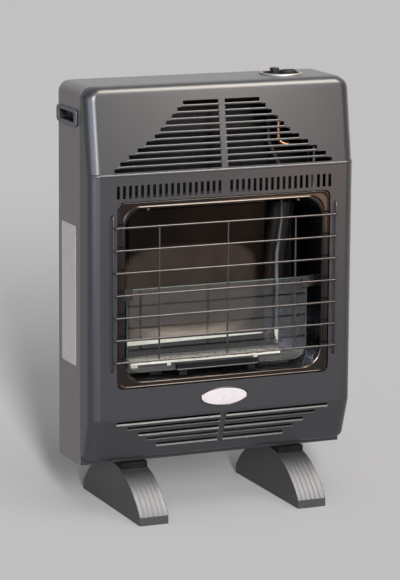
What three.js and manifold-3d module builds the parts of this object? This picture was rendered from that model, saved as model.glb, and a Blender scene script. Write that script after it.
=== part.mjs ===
// A slim free-standing gas room heater on two arched feet, in millimetres, +Z up.
// The origin is on the floor at the middle of the feet; the front looks along -Y.
// Depths are measured back from the flat face of the front casing.
import * as THREE from "three";
import { mergeVertices } from "three/addons/utils/BufferGeometryUtils.js";
import Module from "manifold-3d";

const wasm = await Module();
wasm.setup();

// ---- driving dimensions ----
const gap = 0.3; // between pieces that rest on each other
const running = 0.06; // round a shaft that turns or slides in its bore
const sheet = 1.2; // painted steel sheet
const linerSheet = 1; // polished steel sheet of the firebox

const width = 450;
const height = 681; // floor to the top sheet
const floorGap = 82; // floor to the underside of the cabinet
const casingDepth = 48;
const cabinetDepth = 94;

const foot = { width: 48.5, depth: 245, toe: 43, tip: 14, crown: 76, spacing: 272.5, wall: 4 };
const trim = { thickness: 2, top: 70, ribs: 6, groove: 3.2, grooveDepth: 0.8 };
const neck = { width: 44, depth: 80 };

const casing = {
  lift: 11, // its lower edge above the underside of the cabinet
  corner: 20, // upper corners seen from the front
  footCorner: 9, // lower corners seen from the front
  edge: 18, // upright front edges
  topEdge: 15,
  bottomEdge: 8,
  bevelHeight: 68,
  bevelSetback: 23,
  upperHeight: 131, // sloping panel above the ledge
  upperSetback: 24,
  ledge: 3,
  ledgeDrop: 2,
};
const cabinet = { corner: 18, rearFlange: 12 };

const louvre = { pitch: 10, slot: 6.2, rib: 10.8, first: 28, side: 40 }; // side: from the widest row to the cabinet's side
const louvreSteps = [0, 10, 10, 10, 10, 10, 15, 15, 15, 15, 10]; // how much longer each row is a side
const slotRow = { pitch: 10, side: 40, width: 5, height: 20.5, drop: 29 };
const grille = { pitch: 10.4, slot: 5, rib: 10, drop: 5 };
const grilleSides = [43, 63, 83, 99, 115]; // how far inside the cabinet's side each row ends

const opening = { side: 43.5, lift: 128.5, drop: 44.5, corner: 10 }; // drop: from the ledge to its top
const frame = { inset: 1.2, recess: 0.8, thickness: 2, side: 12.3, rail: 10, corner: 35, collar: 8, collarWall: 1.2 };
const liner = { depth: 115 };
const flue = { left: 39.5, right: 79.5, depth: 34, back: 14 };
const airSlot = { inner: 15, side: 8, depth: 9, setback: 36 };

const glass = { side: 14.5, height: 133, thickness: 4, setback: 26, corner: 25, lift: 10.5 };
const clip = { width: 14, height: 18, leaf: 1.2, past: 5 };
const channel = { width: 142, height: 9, wall: 1.2, leg: 12 };

const burner = { left: 24.5, right: 47.5, depth: 24, height: 16, centre: 60, lift: 3 };
const port = { inset: 3, depth: 16, height: 8, slot: 1.6, slotLength: 10, pitch: 12 };
const lip = { inset: 4, height: 9.5, rise: 3.5, thickness: 1.5 };
const burnerFoot = { left: 50, right: 27, width: 20, inset: 3 };
const mixer = { radius: 9, bore: 6.5, boreDepth: 14, length: 56 };
const injector = { radius: 6, tip: 3, tipLength: 6, length: 14 };
const pilot = { y: 84, electrode: 41.5, thermocouple: 50, burner: 58.5, shelf: 39, radius: 4 };

const control = { side: 89, y: 95, bezel: 35, bezelHeight: 3, tray: 29, trayWall: 1.5, trayDepth: 5.5, flange: 3 };
const bezelEdge = { lean: 0.6, drop: 1, round: 2.2, lip: 0.8, lipDrop: 0.5 };
const knob = { offset: 13, radius: 13.5, lobes: 18, lobe: 0.6, top: 6.5, lift: 4.5, push: 4 };
const button = { offset: 10.6, width: 12.5, depth: 16, top: 10, lift: 6, corner: 4, stem: 3 };
const spindle = { radius: 3, depth: 33, shoulder: 4.8, shoulderHeight: 1.2 };
const valve = { width: 32, depth: 34, height: 44, drop: 27, neck: 7, neckHeight: 4 };
const coil = { radius: 5.4, wire: 0.45, turns: 4 };
const piezo = { radius: 6, length: 44, flange: 8 };

const mainPipe = { radius: 4, bend: 12, side: 11.8, port: -12, portBack: 6, fall: 42.5 };
const pilotPipe = { radius: 2.2, bend: 9, out: 21.5, port: 9, fall: 13, run: 5 };
const thermoLead = { radius: 1.5, bend: 9, out: 11.5, port: -1, fall: 23, run: 12 };
const sparkLead = { radius: 3, bend: 10, jog: 8, jogDrop: 105, jogRise: 58, above: 30, turn: 75, behind: 31, below: 14 };
const inlet = { radius: 5, bend: 12, side: 35, reach: 28, barb: 5.5 };

const wire = { radius: 1.5, front: 14, side: 4.5, outside: 8.5, bend: 5, pitch: 35.3, upright: 116 };
const guard = { foot: 30.5, first: 45.8, head: 20.5, room: 16 }; // from the lower and upper edge of the opening

const handle = { length: 86, height: 26, proud: 3.5, slotLength: 64, slotHeight: 15, depth: 17, wall: 2, drop: 50 };
const badge = { width: 81, height: 30, rim: 1.6, proud: 1.7, lift: 104 };
const plate = { width: 61, height: 222, thickness: 0.4, lift: 157.5, setback: 50 };
const screwHead = { radius: 3.2, height: 2 };

// ---- planes that the pieces share ----
const faceY = -foot.depth / 2 + foot.toe;
const back = (depth) => faceY + depth;
const seamY = back(casingDepth);
const rearY = back(casingDepth + cabinetDepth);
const casingFoot = floorGap + casing.lift;
const bevelTop = casingFoot + casing.bevelHeight;
const ridge = height - casing.upperHeight;
const openingBottom = floorGap + opening.lift;
const openingTop = ridge - opening.drop;
const openingHalf = width / 2 - opening.side;
const innerHalf = width / 2 - sheet; // inside of the cabinet's side walls
const panelInside = rearY - 2 * sheet - gap; // inside of the back panel

const guardHalf = openingHalf + wire.outside;
const guardFoot = openingBottom + guard.foot;
const guardHead = openingTop - guard.head;

// The frame's hole, and the liner that lies just outside the frame's collar.
const frameHole = {
  half: openingHalf - frame.inset - frame.side,
  bottom: openingBottom + frame.rail,
  top: openingTop - frame.rail - frame.inset,
};
const collarOut = frame.collarWall + gap;
const linerIn = {
  half: frameHole.half + collarOut,
  bottom: frameHole.bottom - collarOut,
  top: frameHole.top + collarOut,
  corner: frame.corner + collarOut,
};
const linerOutside = linerIn.half + linerSheet;
const linerFront = back(frame.recess + frame.thickness + gap);
const linerBack = linerFront + liner.depth;
const burnerLeft = burner.left - linerIn.half;
const burnerRight = linerIn.half - burner.right;
const burnerFloor = linerIn.bottom + burner.lift;
const burnerTop = burnerFloor + burner.height;
const mixerZ = burnerFloor + mixer.radius - 1;
const glassBottom = linerIn.bottom + glass.lift;
const glassHalf = linerIn.half - glass.side;
const controlX = width / 2 - control.side;
const knobX = controlX + knob.offset;
const buttonX = controlX - button.offset;
const inletX = width / 2 - inlet.side;
const electrodeX = linerIn.half - pilot.electrode;
const pilotBurnerX = linerIn.half - pilot.burner;
const thermocoupleX = linerIn.half - pilot.thermocouple;
const trayFloor = height - control.trayDepth;
const valveTop = height - valve.drop;
const valveBottom = valveTop - valve.height;
const neckTop = valveTop + valve.neckHeight;

// ---- finishes ----
const finish = (color, roughness, metalness) => new THREE.MeshStandardMaterial({ color, roughness, metalness });
const charcoal = finish(0x4b4a4c, 0.45, 0.3);
const greyPaint = finish(0x6b676a, 0.5, 0.3);
const bronzeSteel = finish(0x6a6257, 0.25, 0.9);
const polishedSteel = finish(0x9a958c, 0.25, 1);
const darkSteel = finish(0x2e2d2d, 0.5, 0.8);
const wireSteel = finish(0x77757a, 0.35, 0.9);
const clearGlass = new THREE.MeshStandardMaterial({ color: 0xdfeee8, roughness: 0.05, transparent: true, opacity: 0.35 });
const castIron = finish(0x8c8a86, 0.8, 0.4);
const brass = finish(0xb08d4a, 0.35, 1);
const copper = finish(0xb87345, 0.3, 1);
const aluminium = finish(0xb9b8b4, 0.35, 1);
const blackPlastic = finish(0x1d1c1d, 0.5, 0);
const footPlastic = finish(0x4a484b, 0.6, 0);
const greyPlastic = finish(0x5d5d62, 0.6, 0);
const chrome = finish(0xd8d8da, 0.15, 1);
const whitePlate = finish(0xe9e4e6, 0.5, 0);
const ceramic = finish(0xe8e5dc, 0.6, 0);

// ---- solids from three.js geometry ----
function solid(geometry) {
  const bare = geometry.clone();
  bare.deleteAttribute("normal");
  bare.deleteAttribute("uv");
  const merged = mergeVertices(bare, 1e-4);
  const corners = merged.index.array;
  const kept = [];
  for (let i = 0; i < corners.length; i += 3) {
    const [a, b, c] = [corners[i], corners[i + 1], corners[i + 2]];
    if (a !== b && b !== c && c !== a) kept.push(a, b, c);
  }
  return new wasm.Manifold(
    new wasm.Mesh({
      numProp: 3,
      vertProperties: merged.attributes.position.array,
      triVerts: new Uint32Array(kept),
    }),
  );
}

const join = (...solids) => solids.reduce((all, one) => all.add(one));

function box(x0, x1, y0, y1, z0, z1) {
  const block = new THREE.BoxGeometry(x1 - x0, y1 - y0, z1 - z0);
  return solid(block.translate((x0 + x1) / 2, (y0 + y1) / 2, (z0 + z1) / 2));
}

function extruded(shape, depth, curveSegments) {
  return new THREE.ExtrudeGeometry(shape, { depth, bevelEnabled: false, curveSegments });
}

const alongZ = (shape, z0, z1, segments = 2) => solid(extruded(shape, z1 - z0, segments).translate(0, 0, z0));

// A shape drawn in X and Z, run from y0 to y1.
const alongY = (shape, y0, y1, segments = 2) =>
  solid(extruded(shape, y1 - y0, segments).rotateX(Math.PI / 2).translate(0, y1, 0));

// A shape drawn in Y and Z, run from x0 to x1.
const sideBasis = new THREE.Matrix4().makeBasis(
  new THREE.Vector3(0, 1, 0),
  new THREE.Vector3(0, 0, 1),
  new THREE.Vector3(1, 0, 0),
);
const alongX = (shape, x0, x1, segments = 2) =>
  solid(extruded(shape, x1 - x0, segments).applyMatrix4(sideBasis).translate(x0, 0, 0));

function polygon(points) {
  return new THREE.Shape(points.map(([x, y]) => new THREE.Vector2(x, y)));
}

// A rectangle whose lower and upper corners are rounded.
function roundedRect(x0, z0, x1, z1, lower, upper = lower) {
  const shape = new THREE.Shape();
  const turn = (x, z, radius, from) => {
    if (radius > 0) shape.absarc(x, z, radius, from, from + Math.PI / 2);
    else shape.lineTo(x, z);
  };
  shape.moveTo(x0 + lower, z0);
  turn(x1 - lower, z0 + lower, lower, -Math.PI / 2);
  turn(x1 - upper, z1 - upper, upper, 0);
  turn(x0 + upper, z1 - upper, upper, Math.PI / 2);
  turn(x0 + lower, z0 + lower, lower, Math.PI);
  return shape;
}

const ellipse = (x, z, a, b) => new THREE.Shape().absellipse(x, z, a, b, 0, 2 * Math.PI);

// A solid turned about a vertical axis at x, y; the profile is [radius, z] and runs anticlockwise.
function turned(profile, x, y, segments = 16) {
  const points = profile.map(([radius, z]) => new THREE.Vector2(radius, z));
  const lathe = new THREE.LatheGeometry(points, segments);
  return solid(lathe.rotateX(Math.PI / 2).translate(x, y, 0));
}

const rod = (x, y, z0, z1, radius, segments = 16) =>
  turned([[0, z0], [radius, z0], [radius, z1], [0, z1]], x, y, segments);

const rodAlongY = (x, z, y0, y1, radius, segments = 8) => alongY(ellipse(x, z, radius, radius), y0, y1, segments);
const rodAlongX = (y, z, x0, x1, radius, segments = 8) => alongX(ellipse(y, z, radius, radius), x0, x1, segments);

// Straight runs joined by round bends, with points only where it turns.
class BentPath extends THREE.Curve {
  constructor(corners, bend, bendSteps = 3) {
    super();
    this.places = [];
    this.tangents = [];
    const at = corners.map(([x, y, z]) => new THREE.Vector3(x, y, z));
    const heading = (i) => at[i + 1].clone().sub(at[i]).normalize();
    const last = at.length - 1;
    this.mark(at[0], heading(0));
    for (let i = 1; i < last; i++) {
      const [before, after] = [heading(i - 1), heading(i)];
      const reach = bend * Math.tan(before.angleTo(after) / 2);
      const start = at[i].clone().addScaledVector(before, -reach);
      const end = at[i].clone().addScaledVector(after, reach);
      const turn = new THREE.QuadraticBezierCurve3(start, at[i], end);
      for (let k = 0; k <= bendSteps; k++) this.mark(turn.getPoint(k / bendSteps), turn.getTangent(k / bendSteps));
    }
    this.mark(at[last], heading(last - 1));
  }
  mark(place, tangent) {
    this.places.push(place);
    this.tangents.push(tangent);
  }
  getSpacedPoints() {
    return this.places;
  }
  getTangentAt(u) {
    return this.tangents[Math.round(u * (this.places.length - 1))].clone();
  }
}

function tube(corners, radius, bend, sides = 6) {
  const path = new BentPath(corners, bend);
  const section = new THREE.Shape().absarc(0, 0, radius, 0, 2 * Math.PI);
  const steps = path.places.length - 1;
  return solid(new THREE.ExtrudeGeometry(section, { extrudePath: path, steps, curveSegments: sides / 2 }));
}

class Helix extends THREE.Curve {
  constructor(x, y, z0, z1, radius, turns) {
    super();
    Object.assign(this, { x, y, z0, z1, radius, turns });
  }
  getPoint(t, target = new THREE.Vector3()) {
    const angle = 2 * Math.PI * this.turns * t;
    const [dx, dy] = [this.radius * Math.cos(angle), this.radius * Math.sin(angle)];
    return target.set(this.x + dx, this.y + dy, this.z0 + (this.z1 - this.z0) * t);
  }
}

function spring(x, y, z0, z1, radius, wireRadius, turns) {
  const path = new Helix(x, y, z0 + wireRadius, z1 - wireRadius, radius, turns);
  const section = polygon([...Array(5).keys()].map((i) => [
    wireRadius * Math.cos((2 * Math.PI * i) / 5),
    wireRadius * Math.sin((2 * Math.PI * i) / 5),
  ]));
  return solid(new THREE.ExtrudeGeometry(section, { extrudePath: path, steps: 8 * turns, curveSegments: 1 }));
}

// A closed solid through level rings that have the same number of points.
function loft(rings) {
  const count = rings[0].length;
  const index = [];
  for (let i = 0; i + 1 < rings.length; i++) {
    for (let j = 0; j < count; j++) {
      const [a, b] = [i * count + j, i * count + ((j + 1) % count)];
      index.push(a, b, b + count, a, b + count, a + count);
    }
  }
  const top = (rings.length - 1) * count;
  for (let j = 1; j + 1 < count; j++) {
    index.push(0, j + 1, j);
    index.push(top, top + j, top + j + 1);
  }
  const geometry = new THREE.BufferGeometry().setFromPoints(rings.flat());
  return solid(geometry.setIndex(index));
}

const part = new THREE.Group();

function add(name, shape, material) {
  const made = shape.getMesh();
  const indexed = new THREE.BufferGeometry()
    .setAttribute("position", new THREE.BufferAttribute(made.vertProperties, 3))
    .setIndex(new THREE.BufferAttribute(made.triVerts, 1));
  const geometry = indexed.toNonIndexed();
  geometry.computeVertexNormals();
  const mesh = new THREE.Mesh(geometry, material);
  mesh.name = name;
  part.add(mesh);
}

const sides = [
  ["left", -1],
  ["right", 1],
];

// ---- front casing ----
const upperLean = (casing.upperSetback - casing.ledge) / casing.upperHeight;
const upperAngle = Math.atan(upperLean);
const bevelLean = casing.bevelSetback / casing.bevelHeight;
const bevelAngle = Math.atan(bevelLean);
const topArcZ = height - casing.topEdge;
const topArcY =
  casing.ledge + upperLean * (topArcZ + casing.topEdge * Math.sin(upperAngle) - ridge) +
  casing.topEdge * Math.cos(upperAngle);
const bottomArcZ = casingFoot + casing.bottomEdge;
const bottomArcY =
  bevelLean * (bevelTop - bottomArcZ + casing.bottomEdge * Math.sin(bevelAngle)) +
  casing.bottomEdge * Math.cos(bevelAngle);

// How far behind the flat face the casing's skin is at a height; inset moves the skin inwards.
function skinDepth(z, inset = 0) {
  const topRadius = casing.topEdge - inset;
  const bottomRadius = casing.bottomEdge - inset;
  if (z > topArcZ + topRadius * Math.sin(upperAngle))
    return topArcY - Math.sqrt(Math.max(0, topRadius ** 2 - (z - topArcZ) ** 2));
  if (z < bottomArcZ - bottomRadius * Math.sin(bevelAngle))
    return bottomArcY - Math.sqrt(Math.max(0, bottomRadius ** 2 - (bottomArcZ - z) ** 2));
  if (z >= ridge) return casing.ledge + upperLean * (z - ridge) + inset / Math.cos(upperAngle);
  if (z < bevelTop) return bevelLean * (bevelTop - z) + inset / Math.cos(bevelAngle);
  return inset;
}

function skinHalfWidth(z, inset) {
  const corner = z > bevelTop ? casing.corner : casing.footCorner;
  const past = Math.max(z - (height - corner), casingFoot + corner - z, 0);
  return width / 2 - corner + Math.sqrt(Math.max(0, (corner - inset) ** 2 - past ** 2));
}

function casingLevels(inset) {
  const climb = [0.31, 0.59, 0.81, 0.95, 1];
  const [low, high] = [casingFoot + casing.footCorner, height - casing.corner];
  const [lowReach, highReach] = [casing.footCorner - inset, casing.corner - inset];
  const bevelArc = bottomArcZ - (casing.bottomEdge - inset) * Math.sin(bevelAngle);
  const topArc = topArcZ + (casing.topEdge - inset) * Math.sin(upperAngle);
  const turns = climb.flatMap((share) => [low - share * lowReach, high + share * highReach]);
  const folds = [bevelArc, low, bevelTop, ridge - casing.ledgeDrop, ridge, high, topArc];
  return [...turns, ...folds].sort((a, b) => a - b);
}

function casingRing(z, inset, rear) {
  const front = back(skinDepth(z, inset));
  const half = skinHalfWidth(z, inset);
  const radius = Math.min(casing.edge - inset, 0.9 * (seamY - front));
  const ring = [new THREE.Vector3(half, rear, z), new THREE.Vector3(-half, rear, z)];
  for (const side of [-1, 1]) {
    for (let k = 0; k <= 5; k++) {
      const angle = ((side < 0 ? k : 5 - k) / 5) * (Math.PI / 2);
      const x = side * (half - radius + radius * Math.cos(angle));
      ring.push(new THREE.Vector3(x, front + radius - radius * Math.sin(angle), z));
    }
  }
  return ring;
}

const casingBody = (inset, rear) => loft(casingLevels(inset).map((z) => casingRing(z, inset, rear)));

function louvreSlots() {
  const fall = louvre.pitch * Math.cos(upperAngle);
  let half = width / 2 - louvre.side - louvreSteps.reduce((sum, step) => sum + step, 0);
  const cuts = [];
  louvreSteps.forEach((step, row) => {
    half += step;
    const z = height - louvre.first - row * fall;
    cuts.push(...slotPair(louvre.rib / 2, half, z, louvre.slot));
  });
  return cuts;
}

function slotPair(from, to, z, tall) {
  const [y0, y1] = [faceY - 1, seamY + 1];
  return [
    box(from, to, y0, y1, z - tall / 2, z + tall / 2),
    box(-to, -from, y0, y1, z - tall / 2, z + tall / 2),
  ];
}

function uprightSlots() {
  const z = ridge - slotRow.drop;
  const perSide = Math.floor((width / 2 - slotRow.side) / slotRow.pitch);
  const cuts = [];
  for (let i = 1; i <= perSide; i++) {
    cuts.push(...slotPair(i * slotRow.pitch - slotRow.width / 2, i * slotRow.pitch + slotRow.width / 2, z, slotRow.height));
  }
  return cuts;
}

const grilleSlots = () =>
  grilleSides.flatMap((side, row) =>
    slotPair(grille.rib / 2, width / 2 - side, bevelTop - grille.drop - row * grille.pitch, grille.slot),
  );

function openingShape(inset, corner) {
  const half = openingHalf - inset;
  return roundedRect(-half, openingBottom + inset, half, openingTop - inset, corner);
}

function guardHoles() {
  const holes = [];
  for (const [, side] of sides) {
    for (const z of [guardFoot, guardHead]) {
      holes.push(rodAlongY(side * guardHalf, z, faceY - 1, seamY, wire.radius + 2 * gap, 4));
    }
  }
  return holes;
}

function frontCasing() {
  const shell = casingBody(0, seamY).subtract(casingBody(sheet, seamY + 5));
  const mouth = alongY(openingShape(0, opening.corner), faceY - 1, seamY + 1);
  return shell.subtract(join(mouth, ...louvreSlots(), ...uprightSlots(), ...grilleSlots(), ...guardHoles()));
}
add("front_casing", frontCasing(), charcoal);

// ---- rear cabinet ----
function cabinetOutline(inset, bottom) {
  const half = width / 2 - inset;
  return roundedRect(-half, bottom, half, height - inset, 0, cabinet.corner - Math.min(inset, cabinet.corner - 2));
}

function handleCut(side) {
  const z = height - handle.drop;
  const [length, tall] = [handle.slotLength / 2 + handle.wall + gap, handle.slotHeight / 2 + handle.wall + gap];
  const x = side * (width / 2);
  return box(x - 5, x + 5, handleY - length, handleY + length, z - tall, z + tall);
}
const handleY = (seamY + rearY) / 2 + 3;

function cabinetWrap() {
  const front = seamY + gap;
  const below = floorGap - 5;
  const shell = alongY(cabinetOutline(0, floorGap), front, rearY)
    .subtract(alongY(cabinetOutline(sheet, below), front - 1, rearY - sheet))
    .subtract(alongY(cabinetOutline(cabinet.rearFlange, below), rearY - 2 * sheet, rearY + 1));
  const controlHole = rod(controlX, back(control.y), height - 5, height + 5, control.tray + 2 * gap, 24);
  return shell.subtract(join(controlHole, handleCut(-1), handleCut(1)));
}
add("cabinet_wrap", cabinetWrap(), greyPaint);

function backPanel() {
  const outline = cabinetOutline(sheet + gap, floorGap);
  const inletHole = rodAlongY(inletX, inletZ, rearY - 10, rearY, inlet.radius + 2.5);
  const vents = [];
  for (const z of [ventHigh, ventLow]) {
    for (let row = 0; row < 4; row++) {
      for (const side of [-1, 1]) {
        const x = side * 75;
        vents.push(box(x - 55, x + 55, rearY - 10, rearY, z - row * 14, z - row * 14 + 5));
      }
    }
  }
  return alongY(outline, panelInside, panelInside + sheet).subtract(join(inletHole, ...vents));
}
const inletZ = valveBottom + valve.height / 2;
// The upper vents lie behind the firebox liner, so no light shows through the louvres.
const ventHigh = ridge - 80;
const ventLow = casingFoot + 90;
add("back_panel", backPanel(), greyPaint);

const panWall = 14;
function basePan() {
  const half = innerHalf - gap;
  const [front, rear] = [seamY + gap, panelInside - gap];
  const tray = box(-half, half, front, rear, floorGap, floorGap + panWall).subtract(
    box(-half + sheet, half - sheet, front + sheet, rear - sheet, floorGap + sheet, floorGap + panWall + 1),
  );
  const vents = [];
  for (let row = 0; row < 3; row++) {
    for (const side of [-1, 1]) {
      const y = front + 24 + row * 14;
      vents.push(box(side * 50 - 38, side * 50 + 38, y, y + 6, floorGap - 1, floorGap + 5));
    }
  }
  return tray.subtract(join(...vents));
}
add("base_pan", basePan(), greyPaint);

// ---- firebox ----
function frameShape(inset, corner) {
  return roundedRect(
    -frameHole.half - inset, frameHole.bottom - inset, frameHole.half + inset, frameHole.top + inset, corner + inset);
}

function fireboxFrame() {
  const front = back(frame.recess);
  const plateBack = front + frame.thickness;
  const ring = alongY(openingShape(frame.inset, opening.corner - frame.inset), front, plateBack);
  const collar = alongY(frameShape(frame.collarWall, frame.corner), plateBack - 0.5, plateBack + frame.collar, 3);
  return join(ring, collar).subtract(alongY(frameShape(0, frame.corner), front - 1, plateBack + frame.collar + 1, 3));
}
add("firebox_frame", fireboxFrame(), bronzeSteel);

function linerShape(inset) {
  return roundedRect(
    -linerIn.half - inset, linerIn.bottom - inset, linerIn.half + inset, linerIn.top + inset, linerIn.corner + inset);
}

function fireboxLiner() {
  const tub = alongY(linerShape(linerSheet), linerFront, linerBack + linerSheet, 3).subtract(
    alongY(linerShape(0), linerFront - 1, linerBack, 3),
  );
  const flueRear = linerBack - flue.back;
  const flueHole = box(flue.left - linerIn.half, linerIn.half - flue.right, flueRear - flue.depth, flueRear, linerIn.top - 1, linerIn.top + 5);
  const leadHole = rod(sparkX, back(pilot.y), linerIn.top - 1, linerIn.top + 5, sparkLead.radius + 2, 12);
  const sideFrom = linerIn.half - 30;
  const mixerHole = rodAlongX(back(burner.centre), mixerZ, sideFrom, linerIn.half + 5, mixer.radius + 1);
  const leadNotch = box(sideFrom, linerIn.half + 5, back(pilot.y) - 5, back(pilot.y) + 5, leadLow - 4, leadHigh + 4);
  const air = [];
  for (const side of [-1, 1]) {
    const [a, b] = [side * airSlot.inner, side * (linerIn.half - linerIn.corner - airSlot.side)];
    air.push(box(Math.min(a, b), Math.max(a, b), back(airSlot.setback), back(airSlot.setback) + airSlot.depth,
      linerIn.bottom - 5, linerIn.bottom + 1));
  }
  return tub.subtract(join(flueHole, leadHole, mixerHole, leadNotch, ...air));
}
const leadHigh = linerIn.bottom + thermoLead.run;
const leadLow = linerIn.bottom + pilotPipe.run;
const sparkX = electrodeX + sparkLead.jog;
add("firebox_liner", fireboxLiner(), polishedSteel);

const reflector = { side: 51.5, bottom: 42, headroom: 24.8, setback: 6, foot: 16, footRise: 26 };
const wing = { bend: 30, angle: 50, length: 14, lean: 0.12 };
const reflectorHalf = linerIn.half - reflector.side;
const reflectorBottom = linerIn.bottom + reflector.bottom;

// A side of the reflector that curves forwards, and leans outwards towards its top.
function reflectorWing(side, y, low, high) {
  const skin = (radius) => [0, 1, 2, 3, 4].map((k) => {
    const angle = ((k / 4) * wing.angle * Math.PI) / 180;
    return [reflectorHalf + radius * Math.sin(angle), y - wing.bend + radius * Math.cos(angle)];
  });
  const angle = (wing.angle * Math.PI) / 180;
  const reach = ([x, depth]) => [x + wing.length * Math.cos(angle), depth - wing.length * Math.sin(angle)];
  const [rear, front] = [skin(wing.bend), skin(wing.bend - linerSheet)];
  const outline = [
    [reflectorHalf - 1, y - linerSheet], ...front, reach(front[4]), reach(rear[4]), ...rear.reverse(), [reflectorHalf - 1, y],
  ];
  const shape = polygon(outline.map(([x, depth]) => [side * x, depth]));
  const lean = side * wing.lean;
  const shear = new THREE.Matrix4().set(1, 0, lean, -lean * (high - low) / 3, 0, 1, 0, 0, 0, 0, 1, low, 0, 0, 0, 1);
  return solid(extruded(shape, high - low, 1).applyMatrix4(shear));
}

function rearReflector() {
  const y = linerBack - reflector.setback;
  const [low, high] = [reflectorBottom, linerIn.top - reflector.headroom];
  const toe = y - reflector.foot;
  const knee = low + reflector.footRise;
  const skin = alongX(
    polygon([
      [y, high], [y, knee], [y - 0.3 * reflector.foot, low + 0.3 * reflector.footRise], [toe, low],
      [toe - 0.9, low + 0.9], [y - linerSheet - 0.3 * reflector.foot, low + 0.36 * reflector.footRise],
      [y - linerSheet, knee], [y - linerSheet, high],
    ]),
    -reflectorHalf, reflectorHalf,
  );
  const studs = [-1, 1].flatMap((side) =>
    [knee + 20, high - 20].map((z) => rodAlongY(side * (reflectorHalf - 20), z, y - 0.5, linerBack - gap, 4, 4)));
  const wings = sides.map(([, side]) => reflectorWing(side, y, knee + 40, high));
  return join(skin, ...wings, ...studs);
}
add("rear_reflector", rearReflector(), polishedSteel);

const lipStrip = { overhang: 10, leftHeight: 7, rightHeight: 2, rightRise: 3, thickness: 1.2 };
function reflectorLip() {
  const y = linerBack - reflector.setback - reflector.foot - 0.9 - gap;
  const low = reflectorBottom - lipStrip.leftHeight / 2;
  const [left, right] = [-reflectorHalf - lipStrip.overhang, reflectorHalf - lipStrip.overhang];
  const rightLow = low + lipStrip.rightRise;
  const shape = polygon([[left, low], [right, rightLow], [right, rightLow + lipStrip.rightHeight], [left, low + lipStrip.leftHeight]]);
  return alongY(shape, y - lipStrip.thickness, y);
}
add("reflector_lip", reflectorLip(), aluminium);

const deflector = { left: 20.8, valveGap: 25, rear: 40, rise: 38, front: 40, frontDrop: 14 };
function heatDeflector() {
  const y = panelInside - gap;
  const fold = height - deflector.frontDrop - deflector.rise;
  const tip = back(deflector.front);
  const shape = polygon([
    [y, fold - deflector.rear], [y, fold], [tip, height - deflector.frontDrop],
    [tip, height - deflector.frontDrop - sheet], [y - sheet, fold - 0.5], [y - sheet, fold - deflector.rear],
  ]);
  return alongX(shape, deflector.left - innerHalf, knobX - valve.width / 2 - deflector.valveGap);
}
add("heat_deflector", heatDeflector(), darkSteel);

const strap = { rise: 90, length: 120, setback: 90, depth: 20 };
function linerBracket(side) {
  const [x0, x1] = [linerOutside + gap, innerHalf - gap];
  const [y0, y1] = [back(strap.setback), back(strap.setback + strap.depth)];
  const shape = polygon([
    [side * x0, y1], [side * x0, y0], [side * x1, y0], [side * x1, y1],
    [side * (x1 - sheet), y1], [side * (x1 - sheet), y0 + sheet],
    [side * (x0 + sheet), y0 + sheet], [side * (x0 + sheet), y1],
  ]);
  const z = linerIn.bottom + strap.rise;
  return alongZ(shape, z, z + strap.length);
}
for (const [name, side] of sides) add("liner_bracket_" + name, linerBracket(side), darkSteel);

// ---- glass ----
const glassFront = back(glass.setback);
const glassBack = glassFront + glass.thickness;
const glassTop = glassBottom + glass.height;
add("glass_pane",
  alongY(roundedRect(-glassHalf, glassBottom, glassHalf, glassTop, glass.corner, 3), glassFront, glassBack, 3),
  clearGlass);

function glassClip(side) {
  const outer = glassHalf + clip.past;
  const inner = outer - clip.width;
  const [y0, y1] = [glassFront - gap - clip.leaf, glassBack + gap + clip.leaf];
  const top = glassTop + gap + clip.leaf;
  const span = (a, b) => (side < 0 ? [-b, -a] : [a, b]);
  const jaw = box(...span(inner, outer), y0, y1, top - clip.height, top).subtract(
    box(...span(inner - 1, glassHalf + gap), y0 + clip.leaf, y1 - clip.leaf, top - clip.height - 1, top - clip.leaf),
  );
  const tab = box(...span(outer - 1, linerIn.half - gap), y1 - 2, y1, top - clip.height, top);
  return join(jaw, tab);
}
for (const [name, side] of sides) add("glass_clip_" + name, glassClip(side), wireSteel);

function glassChannel() {
  const half = channel.width / 2;
  const [y0, y1] = [glassFront - gap - channel.wall, glassBack + gap + channel.wall];
  const floor = glassBottom - gap - channel.wall;
  const trough = box(-half, half, y0, y1, floor, floor + channel.height).subtract(
    box(-half - 1, half + 1, y0 + channel.wall, y1 - channel.wall, floor + channel.wall, floor + channel.height + 1),
  );
  const legs = [-1, 1].map((side) => {
    const x = side * (half - channel.leg);
    return box(x - channel.leg / 2, x + channel.leg / 2, y0, y1, linerIn.bottom + gap, floor + 0.5);
  });
  return join(trough, ...legs);
}
add("glass_channel", glassChannel(), darkSteel);

// ---- burner ----
const burnerY0 = back(burner.centre) - burner.depth / 2;
const burnerY1 = burnerY0 + burner.depth;
const mixerEnd = burnerRight + mixer.length;

function burnerBody() {
  const trough = alongX(roundedRect(burnerY0, burnerFloor, burnerY1, burnerTop, 5, 2), burnerLeft, burnerRight);
  const neckTube = rodAlongX(back(burner.centre), mixerZ, burnerRight - 2, mixerEnd, mixer.radius);
  const bore = rodAlongX(back(burner.centre), mixerZ, mixerEnd - mixer.boreDepth, mixerEnd + 1, mixer.bore);
  return join(trough, neckTube).subtract(bore);
}
add("burner_body", burnerBody(), darkSteel);

function burnerStrip() {
  const [x0, x1] = [burnerLeft + port.inset, burnerRight - port.inset];
  const [y0, y1] = [back(burner.centre) - port.depth / 2, back(burner.centre) + port.depth / 2];
  const floor = burnerTop + gap;
  const bar = box(x0, x1, y0, y1, floor, floor + port.height);
  const slots = [];
  for (let x = x0 + port.pitch / 2; x < x1 - port.slot; x += port.pitch) {
    slots.push(box(x, x + port.slot, y0 + 3, y0 + 3 + port.slotLength, floor + port.height - 3, floor + port.height + 1));
  }
  return bar.subtract(join(...slots));
}
add("burner_strip", burnerStrip(), castIron);

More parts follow.
